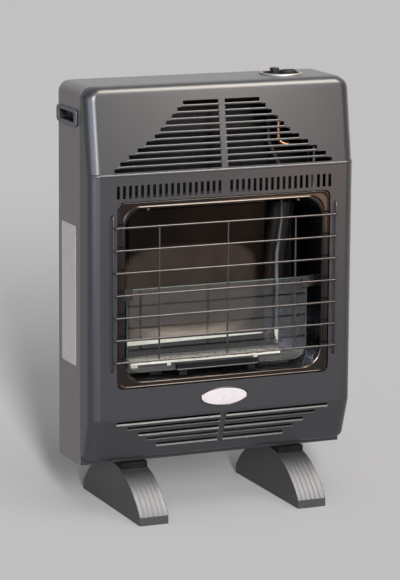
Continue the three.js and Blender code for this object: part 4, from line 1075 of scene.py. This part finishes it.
class HEATER_OT_glass(bpy.types.Operator):
    """Grinds the glass pane and sets its clips"""

    bl_idname = "heater.glass"
    bl_label = "Glass pane"

    def execute(self, context):
        steps = [(0.5, -53.5), (0, -53.0), (0, -50.0), (0.5, -49.5)]
        loops = drawn_in(facing_y, (-155, 155, 229.5, 362.5), 25, steps, steps=14, upper=3)
        pane = skinned("glass_sheet", loops, shared(clear_glass))
        pane.data.materials.append(shared(glass_edge))
        for face in pane.data.polygons:
            face.material_index = 0 if abs(face.normal.y) > 0.9 else 1
        pane.data.shade_smooth()
        pane.data.set_sharp_from_angle(angle=math.radians(30))
        seat(pane, "glass", "glass_pane")
        seat_copies([
            # The left clip is dark oxidised steel and the right one bright wire: the dark left clip is
            # painted shade.
            ("glass_clip_left", shared(smoked_steel), "wire_steel", 0.2),
            ("glass_clip_right", guard_wire(), "wire_steel", 0.2),
        ])
        return {"FINISHED"}


# ---- burner and pilot ----
def ragged(x, step):
    """A small fixed unevenness along a strip."""
    return noise.noise(Vector((x / step, 3.1, 7.7)))


class HEATER_OT_burner(bpy.types.Operator):
    """Casts the burner, packs its ribbons and sets the pilot"""

    bl_idname = "heater.burner"
    bl_label = "Burner and pilot"

    def execute(self, context):
        seat_copies([
            ("burner_body", shared(cast_iron), "dark_steel", 0.8),
            ("burner_foot_left", shared(smoked_steel), "dark_steel", 0.4),
            ("burner_foot_right", shared(smoked_steel), "dark_steel", 0.4),
            ("injector", shared(brass), "brass", 0.3),
            ("injector_bracket", shared(smoked_steel), "dark_steel", 0.25),
            ("pilot_bracket", shared(smoked_steel), "dark_steel", 0.25),
            ("pilot_burner", shared(sooted_brass), "brass", 0.3),
            ("electrode_ceramic", shared(glazed_ceramic), "ceramic", 0.3),
            ("thermocouple", guard_wire(), "wire_steel", 0.3),
        ])
        self.ports()
        self.front_strip()
        return {"FINISHED"}

    def ports(self):
        low, high = node_box("burner_strip")
        bed_top = high.z - 1.2
        levels = ((0.4, low.z), (0, low.z + 0.4), (0, bed_top - 0.5), (0.5, bed_top))
        loops = drawn_in(facing_z, (low.x, high.x, low.y, high.y), 1.2, levels, steps=3, shrink=0)
        bed = skinned("port_bed", loops, shared(port_steel))
        levels = ((0, -0.2), (0, 0.9), (0.25, 1.2))
        loops = drawn_in(facing_z, (-0.65, 0.65, -7, 7), 0.4, levels, steps=2, shrink=0)
        ribbon = skinned("ribbon", loops, None)
        pitch = sizes().port_pitch / MM
        count = int((high.x - low.x - 6) / pitch)
        middle = (low.y + high.y) / 2
        spots = [[(low.x + 3 + i * pitch, middle, bed_top)] for i in range(count + 1)]
        points = lines("ribbon_points", spots)
        ribbons = grow(scatter_tree(), points, "port_ribbons", Item=ribbon, Turn=(0, 0, 0),
                       Material=shared(port_steel))
        drop(ribbon)
        seat(bed, "burner_ports", "burner_strip")
        seat(ribbons, "burner_ports")

    def front_strip(self):
        low, high = node_box("burner_lip")
        stations, folds = 150, high.z - 4.6
        loops = []
        for i in range(stations + 1):
            x = low.x + (high.x - low.x) * i / stations
            crest = high.z - 1.3 + 1.3 * ragged(x, 13) + 0.8 * ragged(x, 3.7)
            lean = 0.6 * ragged(x + 50, 7)
            across = [
                (low.y + 0.8, low.z), (high.y, low.z), (high.y - 0.2 + lean * 0.4, crest - 0.3),
                (high.y - 0.6 + lean * 0.4, crest), (low.y + 0.65 + lean, crest),
                (low.y + 0.6 + lean, crest - 0.5), (low.y + 0.1, folds + 0.5 * ragged(x, 5)),
                (low.y + 0.8, folds - 0.6),
            ]
            loops.append([(x, y, z) for y, z in across])
        strip = soften(skinned("burner_front_strip", loops, shared(bright_sheet)), 0, angle=50)
        strip.data.materials.append(shared(smoked_steel))
        legs = ((low.x, low.x + 12), (-79, -72), (71, 78))
        for face in strip.data.polygons:
            on_leg = any(start < face.center.x / MM < end for start, end in legs)
            if face.center.z < (folds - 0.5) * MM and not on_leg:
                face.material_index = 1
        seat(strip, "bright_strip", "burner_lip")


# ---- guard, pipes and leads ----
class HEATER_OT_guard(bpy.types.Operator):
    """Bends and welds the wire guard"""

    bl_idname = "heater.guard"
    bl_label = "Wire guard"

    def execute(self, context):
        given = sizes()
        half, front, rear = GUARD_HALF, -93.5, -84
        first, last = GUARD_ENDS
        levels = [256.3 + 35.3 * i for i in range(7)]
        paths = [[(-half, rear, z), (-half, front, z), (half, front, z), (half, rear, z)] for z in levels]
        paths += [[(x, -91.1, levels[0] - 1), (x, -91.1, levels[-1] + 1)] for x in (-116, 0, 116)]
        for x in (-half, half):
            paths.append([(x, -73.5, first), (x, rear, first), (x, rear, last), (x, -73.5, last)])
        guard = grow(wire_tree(), lines("guard_lines", paths), "guard_wires", Radius=given.guard_wire,
                     Bend=given.guard_bend, Sides=14, Material=guard_wire())
        seat(guard, "wire_steel", "wire_guard")
        return {"FINISHED"}


class HEATER_OT_pipes(bpy.types.Operator):
    """Bends the gas pipes and lays the leads"""

    bl_idname = "heater.pipes"
    bl_label = "Pipes and leads"

    def execute(self, context):
        tree = wire_tree()
        y = LEAD_Y
        # Node, radius, bend, material and finish, then the points of the route.
        runs = (
            ("main_gas_pipe", 4, 12, shared(copper), "copper", [
                (137, 21.5, 609.7), (137, 21.5, 567.5), (212, -19.5, 567.5), (212, -19.5, 230),
                (196.3, -19.5, 230),
            ]),
            ("pilot_pipe", 2.2, 9, shared(die_cast), "bright_strip", [
                (158, y, 609.7), (158, y, 597), (192, y, 597), (192, y, 224), (111, y, 224), (111, y, 241.2),
            ]),
            ("thermocouple_lead", 1.5, 9, shared(copper), "copper", [
                (148, y, 609.7), (148, y, 587), (182, y, 587), (182, y, 231), (119.5, y, 231),
                (119.5, y, 241.2),
            ]),
            ("igniter_lead", 3, 10, lead_sleeve(), "rubber_lead", [
                (128, y, 269.8), (128, y, 390.8), (WELL_X, y, 448.8), (WELL_X, y, 525.8),
                (BUTTON_X, 35.5, 570.8), (BUTTON_X, 35.5, 615.7), (BUTTON_X, 15.5, 615.7),
                (BUTTON_X, 15.5, 629.4),
            ]),
            ("inlet_pipe", 5, 12, shared(copper), "copper", [
                (165.3, 15.5, HOSE_Z), (HOSE_X, 15.5, HOSE_Z), (HOSE_X, 54.8, HOSE_Z),
            ]),
            ("electrode_tip", 0.9, 2, guard_wire(), "wire_steel", [
                (128, y, 245.2), (128, y, 239.2), (124, -7.5, 239.2), (120, -7.5, 259.5),
            ]),
        )
        for node, radius, bend, material, slot, path in runs:
            pipe = grow(tree, lines(node + "_line", [path]), node + "_bent", Radius=radius * MM,
                        Bend=bend * MM, Sides=20, Material=material)
            seat(pipe, slot, node)
        return {"FINISHED"}


# ---- valve and controls ----
def helix(x, y, z0, z1, radius, turns, steps=24):
    """Points of a coil about an upright axis."""
    points, count = [], turns * steps
    for k in range(count + 1):
        a = 2 * math.pi * k / steps
        points.append((x + radius * math.cos(a), y + radius * math.sin(a), z0 + (z1 - z0) * k / count))
    return points


class HEATER_OT_controls(bpy.types.Operator):
    """Turns the bezel, tray, knob and button, and sets the valve and the sparker"""

    bl_idname = "heater.controls"
    bl_label = "Valve and controls"

    def execute(self, context):
        x, y, floor = WELL_X, CONTROL_Y, TOP - 5.5
        tray = turned("control_well", [
            (0, floor - 1.5), (28.2, floor - 1.5), (29, floor - 0.8), (29, TOP + 0.3), (32, TOP + 0.3),
            (32, TOP + 1.1), (31.6, TOP + 1.3), (27.9, TOP + 1.3), (27.5, TOP + 0.9), (27.5, floor + 1.2),
            (26.6, floor + 0.3), (25.4, floor), (0, floor),
        ], x, y, black_plastic(), 72)
        through = [(3.6, floor - 5), (3.6, floor + 2)]
        holes = [turned("hole", through, at, y, None, 24) for at in (KNOB_X, BUTTON_X)]
        seat(soften(cut(tray, holes), 0.2 * MM), "black_plastic", "control_tray")

        base, top = TOP + 0.3, TOP + 3
        section = [
            (32.3, base), (35, base), (34.95, base + 0.7), (34.6, top - 0.9), (34.0, top - 0.3), (33.0, top),
            (31.0, top - 0.05), (29.9, top - 0.3), (29.2, top - 0.9), (29.2, base + 1.3), (32.3, base + 1.3),
        ]
        loops = [facing_z(oval(x, y, radius, radius, 96), z) for radius, z in section]
        bezel = soften(skinned("chrome_ring", loops, shared(chrome), closed=True), 0, angle=50)
        seat(bezel, "chrome_trim", "control_bezel")

        self.knob(KNOB_X, y, floor)
        self.button(BUTTON_X, y, floor)
        seat_copies([
            ("gas_valve", shared(die_cast), "bright_strip", 0.6),
            ("valve_bracket", shared(smoked_steel), "dark_steel", 0.25),
            ("piezo_unit", shared(glazed_ceramic), "ceramic", 0.4),
        ])
        seat(from_frame("valve_spindle", guard_wire(), 0.2), "wire_steel", "valve_spindle", body=KNOB)
        seat(from_frame("spring_cup", guard_wire(), 0.2), "wire_steel", "spring_cup", body=PLUNGER)
        self.springs(y)
        return {"FINISHED"}

    def knob(self, x, y, floor):
        base, top, radius = floor + 4.5, TOP + 6.5, 13.5
        lobes, steps, flute = 18, 12, 0.6
        count = lobes * steps
        loops = []
        # How far each level is drawn in, its share of the flutes, and its height.
        for shrink, share, z in [
            (1.0, 0, base), (0.3, 0.5, base), (0, 1, base + 0.8), (0, 1, top - 2.6), (0.35, 0.8, top - 1.8),
            (1.1, 0.4, top - 1.2), (2.4, 0, top - 1.0), (8, 0, top - 0.95), (13.4, 0, top - 0.95),
        ]:
            loop = []
            for i in range(count):
                a = 2 * math.pi * i / count
                r = radius - shrink - flute * share * (0.5 + 0.5 * math.cos(lobes * a)) ** 2
                loop.append((x + r * math.cos(a), y + r * math.sin(a), z))
            loops.append(loop)
        body = skinned("knob_body", loops, black_plastic())
        cut(body, [turned("bore", [(3.3, base - 2), (3.3, top - 2)], x, y, None, 24)])
        levels = ((0, top - 2), (0, top - 0.4), (0.15, top - 0.12), (0.45, top))
        grip = drawn_in(facing_z, (x - 11.5, x + 10.5, y - 1.7, y + 1.7), 1.4, levels, steps=4)
        whole = joined("knob_cap", [body, skinned("grip", grip, black_plastic())])
        seat(soften(whole, 0, angle=45), "black_plastic", "control_knob", body=KNOB)

    def button(self, x, y, floor):
        low, high = node_box("igniter_button")
        wide, deep, base, top = high.x - x, high.y - y, floor + 6, high.z
        levels = (
            (0.5, base), (0, base + 0.5), (0, top - 1.6), (0.25, top - 0.8), (0.8, top - 0.2), (1.6, top),
            (2.8, top - 0.2), (4.5, top - 0.4),
        )
        cap = drawn_in(facing_z, (x - wide, x + wide, y - deep, y + deep), 4, levels, shrink=3)
        profile = [(0, low.z), (2.6, low.z), (3, low.z + 0.4), (3, base + 1), (0, base + 1)]
        stem = turned("stem", profile, x, y, black_plastic(), 32)
        whole = joined("push_button", [skinned("cap", cap, black_plastic()), stem])
        seat(soften(whole, 0, angle=45), "black_plastic", "igniter_button", body=BUTTON)

    def springs(self, y):
        tree, wire = wire_tree(), 0.45
        coils = (
            ("knob_spring", KNOB_X, 658.3, 668.9, 5.4, "knob_push", 4),
            ("igniter_spring", BUTTON_X, 648.8, 660.2, 2.1, "igniter_push", 5),
        )
        for node, x, z0, z1, radius, joint, push in coils:
            path = helix(x, y, z0 + wire, z1 - wire, radius, 4)
            coil = grow(tree, lines(node + "_line", [path]), node + "_coil", Radius=wire * MM, Bend=0.0,
                        Sides=10, Material=guard_wire())
            seat(coil, "wire_steel", node)
            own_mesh(coil)


# ---- badge and blank plate ----
class HEATER_OT_plates(bpy.types.Operator):
    """Makes the blank oval badge and the blank side plate"""

    bl_idname = "heater.plates"
    bl_label = "Blank badge and plate"

    def execute(self, context):
        z, shade = 186, picked("plate")
        section = [
            (0, -79.8), (0, -81.0), (0.3, -81.4), (0.8, -81.5), (1.3, -81.4), (1.6, -81.0), (1.6, -79.8),
        ]
        loops = [facing_y(oval(0, z, 40.5 - i, 15 - i, 96), y) for i, y in section]
        rim = soften(skinned("badge_bead", loops, shared(dark_chrome), closed=True), 0, angle=50)
        seat(rim, "chrome_trim", "badge_rim")
        wide, tall = 38.6, 13.1
        loops = [facing_y(oval(0, z, wide, tall, 96), -79.8)]
        for k in (1, 0.96, 0.85, 0.65, 0.4, 0.12):
            loops.append(facing_y(oval(0, z, wide * k, tall * k, 96), -81.0 - 0.7 * (1 - k * k)))
        lacquer = shared(pale_film, "badge lacquer", toned(shade, 0.85), (0.25, 0.3))
        dome = soften(skinned("badge_dome", loops, lacquer), 0, angle=50)
        seat(dome, "plate", "badge_plate")
        low, high = node_box("blank_plate")
        levels = ((0, high.x), (0, low.x + 0.12), (0.12, low.x))
        loops = drawn_in(facing_x, (low.y, high.y, low.z, high.z), 3, levels, steps=6)
        film = shared(pale_film, "plate film", toned(shade, 0.82), (0.42, 0.5))
        plate = soften(skinned("side_plate", loops, film), 0, angle=40)
        seat(plate, "plate", "blank_plate")
        return {"FINISHED"}


# ---- feet ----
# Half span and rise of the arch along a foot's top, and the height of its crown.
ARCH_HALF, ARCH_RISE, ARCH_TOP = 122.5, 62, 76
ARCH_RADIUS = (ARCH_HALF**2 + ARCH_RISE**2) / (2 * ARCH_RISE)
ARCH_CENTRE = ARCH_TOP - ARCH_RADIUS


def trim_section(groove, ribs, width=48.5, thickness=2.0):
    """Across a foot's metal front: ribs with soft grooves between them."""
    across = []
    steps = ribs * 16
    for k in range(steps + 1):
        u = width * (k / steps - 0.5)
        place = (k / steps * ribs) % 1.0
        nearest = min(place, 1 - place) * width / ribs
        inner = 0 < k / steps * ribs < ribs and abs(u) < width / 2 - 2
        dip = groove * max(0.0, math.cos(min(1.0, nearest / 1.7) * math.pi / 2)) if inner else 0.0
        across.append((u, dip))
    across[0] = (across[0][0], 0.4)
    across[-1] = (across[-1][0], 0.4)
    return across + [(width / 2, thickness), (-width / 2, thickness)]


class HEATER_OT_feet(bpy.types.Operator):
    """Moulds the arched feet and draws their ribbed metal fronts"""

    bl_idname = "heater.feet"
    bl_label = "Feet"

    def execute(self, context):
        given = sizes()
        metal = shared(ribbed_aluminium, picked("trim"))
        tree = section_tree()
        section = drawn_section(trim_section(given.trim_groove / MM, given.trim_ribs))
        start, end = math.asin(ARCH_HALF / ARCH_RADIUS), math.asin(42.6 / ARCH_RADIUS)
        for side, s in SIDES:
            seat_copies([
                ("foot_" + side, foot_plastic(), "foot_plastic", 0.9),
                # The necks are near black as painted shade under the cabinet.
                ("foot_neck_" + side, shared(primer), "black_plastic", 0.5),
            ])
            path = []
            for k in range(33):
                a = start + (end - start) * k / 32
                path.append((s * 136.25, -ARCH_RADIUS * math.sin(a), ARCH_CENTRE + ARCH_RADIUS * math.cos(a)))
            band = grow(tree, lines("trim_line", [path]), "foot_front_" + side, Section=section,
                        Material=metal)
            seat(soften(band, 0, angle=50), "foot_trim", "foot_trim_" + side)
        drop(section)
        return {"FINISHED"}


# ---- hose nozzle and screws ----
def screw_head(radius, height, material):
    """A pan head with a cross recess, facing -Y with its seat at the origin."""
    profile = [
        (0, 0.6), (radius, 0.6), (radius, -0.25 * height), (0.86 * radius, -0.75 * height),
        (0.5 * radius, -height), (0, -height),
    ]
    head = turned("screw_head", profile, 0, 0, material, 28, facing_y)
    arm, half = 0.62 * radius, 0.13 * radius
    arms = [
        block(-arm, arm, -2 * height, -0.45 * height, -half, half),
        block(-half, half, -2 * height, -0.46 * height, -arm, arm),
    ]
    for one in arms:
        cut(head, [one])
    return soften(head, 0, angle=40)


class HEATER_OT_fasteners(bpy.types.Operator):
    """Drives the screws and fits the hose nozzle"""

    bl_idname = "heater.fasteners"
    bl_label = "Screws and hose nozzle"

    def execute(self, context):
        tree = scatter_tree()
        head = screw_head(3.0, 2.0, guard_wire())
        seats = [(-175, -31.5, 87.5), (0, -31.5, 87.5)]
        for node, place in zip(("pan_screw_left", "pan_screw_middle"), seats):
            screw = grow(tree, lines("screw_point", [[place]]), node + "_head", Item=head, Turn=(0, 0, 0),
                         Material=guard_wire())
            seat(screw, "wire_steel", node)
        y = WRAP_HIGH.y - 0.1
        rear = [(x, y, TOP - 6.5) for x in (-150, -50, 50, 150)]
        rear += [(s * (HALF_WIDTH - 6.5), y, z) for s in (-1, 1) for z in (110, 230, 350, 470, 590)]
        small = screw_head(2.6, 0.9, guard_wire())
        panel = grow(tree, lines("screw_points", [[place] for place in rear]), "panel_screws", Item=small,
                     Turn=(0, 0, math.pi), Material=guard_wire())
        seat(panel, "wire_steel")
        seat_copies([("frame_screw_" + side, guard_wire(), "wire_steel", 0.7) for side, _ in SIDES])
        drop(head, small)

        x, z, tip = HOSE_X, HOSE_Z, 90.5
        profile = [(0, 55.1), (4.5, 55.1), (4.5, 74)]
        for k in range(3):
            start = tip - 17.5 + k * 5.6
            profile += [(4.3, start), (5.5, start + 0.6), (5.4, start + 1.4), (4.4, start + 4.8)]
        profile += [(3.9, tip - 0.3), (3.5, tip), (2.4, tip), (2.4, tip - 12), (0, tip - 12)]
        stem = turned("stem", profile, x, z, shared(brass), 40, facing_y)
        flats = ((8.4, 61.3), (9, 61.9), (9, 68.9), (8.4, 69.5))
        nut = turned("nut", flats, x, z, shared(brass), 6, facing_y)
        nozzle = soften(joined("hose_tail", [stem, nut]), 0.2 * MM)
        seat(nozzle, "brass", "hose_nozzle")
        return {"FINISHED"}


# ---- stage ----
def soft_patch(tree, direction, towards, inner, outer, strength):
    """Brightness of a soft patch of the studio round one direction."""
    aim = Vector(towards).normalized()
    facing = put(tree, "ShaderNodeVectorMath", {0: direction, 1: aim}, operation="DOT_PRODUCT")
    near = facing.outputs["Value"]
    fade = {"Value": near, "From Min": outer, "From Max": inner, "To Min": 0.0, "To Max": strength}
    return put(tree, "ShaderNodeMapRange", fade, interpolation_type="SMOOTHSTEP")


def shine_box(name, place, target, width, height, power, code):
    """A soft box that only the glossy finishes mirror, facing a point; lengths in metres."""
    panel = bpy.data.lights.new(name, "AREA")
    panel.shape, panel.size, panel.size_y = "RECTANGLE", width, height
    panel.energy, panel.color = power, linear(code)
    box = linked(name, panel)
    box.location = place
    box.rotation_euler = (Vector(target) - Vector(place)).to_track_quat("-Z", "Y").to_euler()
    box.visible_diffuse = False
    box.visible_camera = False


# Places and aims of the shine boxes, their widths and heights, and their colours.
SHINE_BOXES = (
    ("top_shine", (0.66, -0.66, 2.0), (0.05, -0.06, 0.67), 0.9, 0.9, "#fff6ea"),
    ("front_shine", (0.41, -0.97, 0.92), (0.02, -0.06, 0.66), 0.2, 0.2, "#fff4e8"),
    ("side_shine", (-1.15, -2.45, 1.2), (-0.21, -0.06, 0.5), 1.3, 1.5, "#dbe6ff"),
    ("edge_shine", (-1.5, -0.95, 0.75), (-0.21, -0.06, 0.5), 1.0, 1.1, "#dbe6ff"),
    ("rim_shine", (1.67, 0.32, 0.5), (0.22, -0.06, 0.4), 1.2, 1.2, "#ffe6cf"),
    ("warm_shine", (0.62, -1.0, 0.44), (0.16, -0.08, 0.5), 0.3, 0.35, "#ffd2ac"),
)
# Elevation in degrees and strength of each part of the key light.
KEY_PARTS = ((15, 1.35), (19.5, 1.3), (24, 0.77), (29, 0.58), (35, 0.44))
CAMERA_PLACE, CAMERA_TURN = (-1.7916, -4.1131, 1.2368), (23.442, 11.284, 0.405)


class HEATER_OT_stage(bpy.types.Operator):
    """Lays the floor and sets the studio light and the camera"""

    bl_idname = "heater.stage"
    bl_label = "Floor, light and camera"

    def execute(self, context):
        given = context.scene.heater_stage
        reach = 60000
        shade = picked("floor")
        ground = finish("studio floor", shade, shade, 500, 3, 0.0, (0.9, 1.0), Specular_IOR_Level=0.0)
        corners = [(-reach, -reach, 0), (reach, -reach, 0), (reach, reach, 0), (-reach, reach, 0)]
        floor = mesh_piece("floor", corners, [(0, 1, 2, 3)], ground)
        floor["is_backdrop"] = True

        # A diffuse bounce sees a darker floor than the camera does, so less light comes back up.
        tree = ground.node_tree
        pale = tree.nodes["Principled BSDF"]
        bounced = put(tree, "ShaderNodeLightPath").outputs["Is Diffuse Ray"]
        dimmed = {"Value": bounced, "To Min": 1.0, "To Max": given.bounce}
        share = put(tree, "ShaderNodeMapRange", dimmed)
        shown = pale.inputs["Base Color"].links[0].from_socket
        kept = put(tree, "ShaderNodeVectorMath", {0: shown, 1: share}, operation="MULTIPLY")
        feed(pale, {"Base Color": kept})
        # The key stands as a tall strip, with one sun for each of its parts.
        for elevation, strength in KEY_PARTS:
            sun = bpy.data.lights.new("key", "SUN")
            sun.energy, sun.angle = strength * given.key, math.radians(6)
            falling = Vector((0.256, 1.0, 0)).normalized() - Vector((0, 0, math.tan(math.radians(elevation))))
            linked("key", sun).rotation_euler = falling.to_track_quat("-Z", "Y").to_euler()
        for name, place, target, width, height, code in SHINE_BOXES:
            shine_box(name, place, target, width, height, getattr(given, name), code)

        world = bpy.data.worlds.new("studio")
        world.use_nodes = True
        context.scene.world = world
        tree = world.node_tree
        direction = put(tree, "ShaderNodeTexCoord").outputs["Generated"]
        above = soft_patch(tree, direction, (0.08, -0.5, 0.85), 0.95, 0.82, given.overhead)
        backdrop = soft_patch(tree, direction, (0.35, 0.85, 0.5), 0.93, 0.5, given.backdrop)
        mirrored = put(tree, "ShaderNodeLightPath").outputs["Is Glossy Ray"]
        behind = put(tree, "ShaderNodeMath", {0: backdrop, 1: mirrored}, operation="MULTIPLY")
        patches = put(tree, "ShaderNodeMath", {0: above, 1: behind}, operation="ADD")
        total = put(tree, "ShaderNodeMath", {0: patches, 1: given.fill}, operation="ADD")
        feed(tree.nodes["Background"], {"Color": (1, 1, 1, 1), "Strength": total})

        lens = bpy.data.cameras.new("camera")
        lens.sensor_fit = "VERTICAL"
        lens.sensor_height = lens.sensor_width = 36
        lens.lens = 178.06
        lens.clip_end = 500
        camera = linked("camera", lens)
        yaw, pitch, roll = (math.radians(a) for a in CAMERA_TURN)
        ahead = Vector((math.sin(yaw) * math.cos(pitch), math.cos(yaw) * math.cos(pitch), -math.sin(pitch)))
        level = Vector((math.cos(yaw), -math.sin(yaw), 0))
        upward = level.cross(ahead)
        right = level * math.cos(roll) + upward * math.sin(roll)
        up = upward * math.cos(roll) - level * math.sin(roll)
        turn = Matrix((right, up, -ahead)).transposed().to_4x4()
        camera.matrix_world = Matrix.Translation(CAMERA_PLACE) @ turn
        context.scene.camera = camera
        context.scene.view_settings.view_transform = "Standard"
        return {"FINISHED"}


# ---- panel and registration ----
OPERATORS = (
    HEATER_OT_casing, HEATER_OT_louvre_fins, HEATER_OT_grille_lips, HEATER_OT_cabinet,
    HEATER_OT_side_grips, HEATER_OT_firebox, HEATER_OT_glass, HEATER_OT_burner, HEATER_OT_guard,
    HEATER_OT_pipes, HEATER_OT_controls, HEATER_OT_plates, HEATER_OT_feet, HEATER_OT_fasteners,
    HEATER_OT_stage,
)


class HEATER_PT_panel(bpy.types.Panel):
    """Lists the pieces of the heater"""

    bl_idname = "HEATER_PT_panel"
    bl_label = "Gas cabinet heater"
    bl_space_type = "VIEW_3D"
    bl_region_type = "UI"
    bl_category = "Heater"

    def draw(self, context):
        for operator in OPERATORS:
            self.layout.operator(operator.bl_idname)
        for settings in SETTINGS:
            group = getattr(context.scene, settings)
            box = self.layout.box()
            for name in group.bl_rna.properties.keys():
                if name not in ("rna_type", "name"):
                    box.prop(group, name)


SETTINGS = {"heater_sizes": HeaterSizes, "heater_colours": HeaterColours, "heater_stage": StageSettings}
CLASSES = (*SETTINGS.values(), *OPERATORS, HEATER_PT_panel)


def register():
    for each in CLASSES:
        bpy.utils.register_class(each)
    for name, group in SETTINGS.items():
        setattr(bpy.types.Scene, name, PointerProperty(type=group))


def unregister():
    for name in SETTINGS:
        delattr(bpy.types.Scene, name)
    for each in reversed(CLASSES):
        bpy.utils.unregister_class(each)


def main():
    """Makes the whole heater and its stage."""
    register()
    for operator in OPERATORS:
        group, name = operator.bl_idname.split(".")
        getattr(getattr(bpy.ops, group), name)()
    corners = [[list(corner) for corner in box] for box in (cad_box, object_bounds())]


if __name__ == "__main__":
    main()
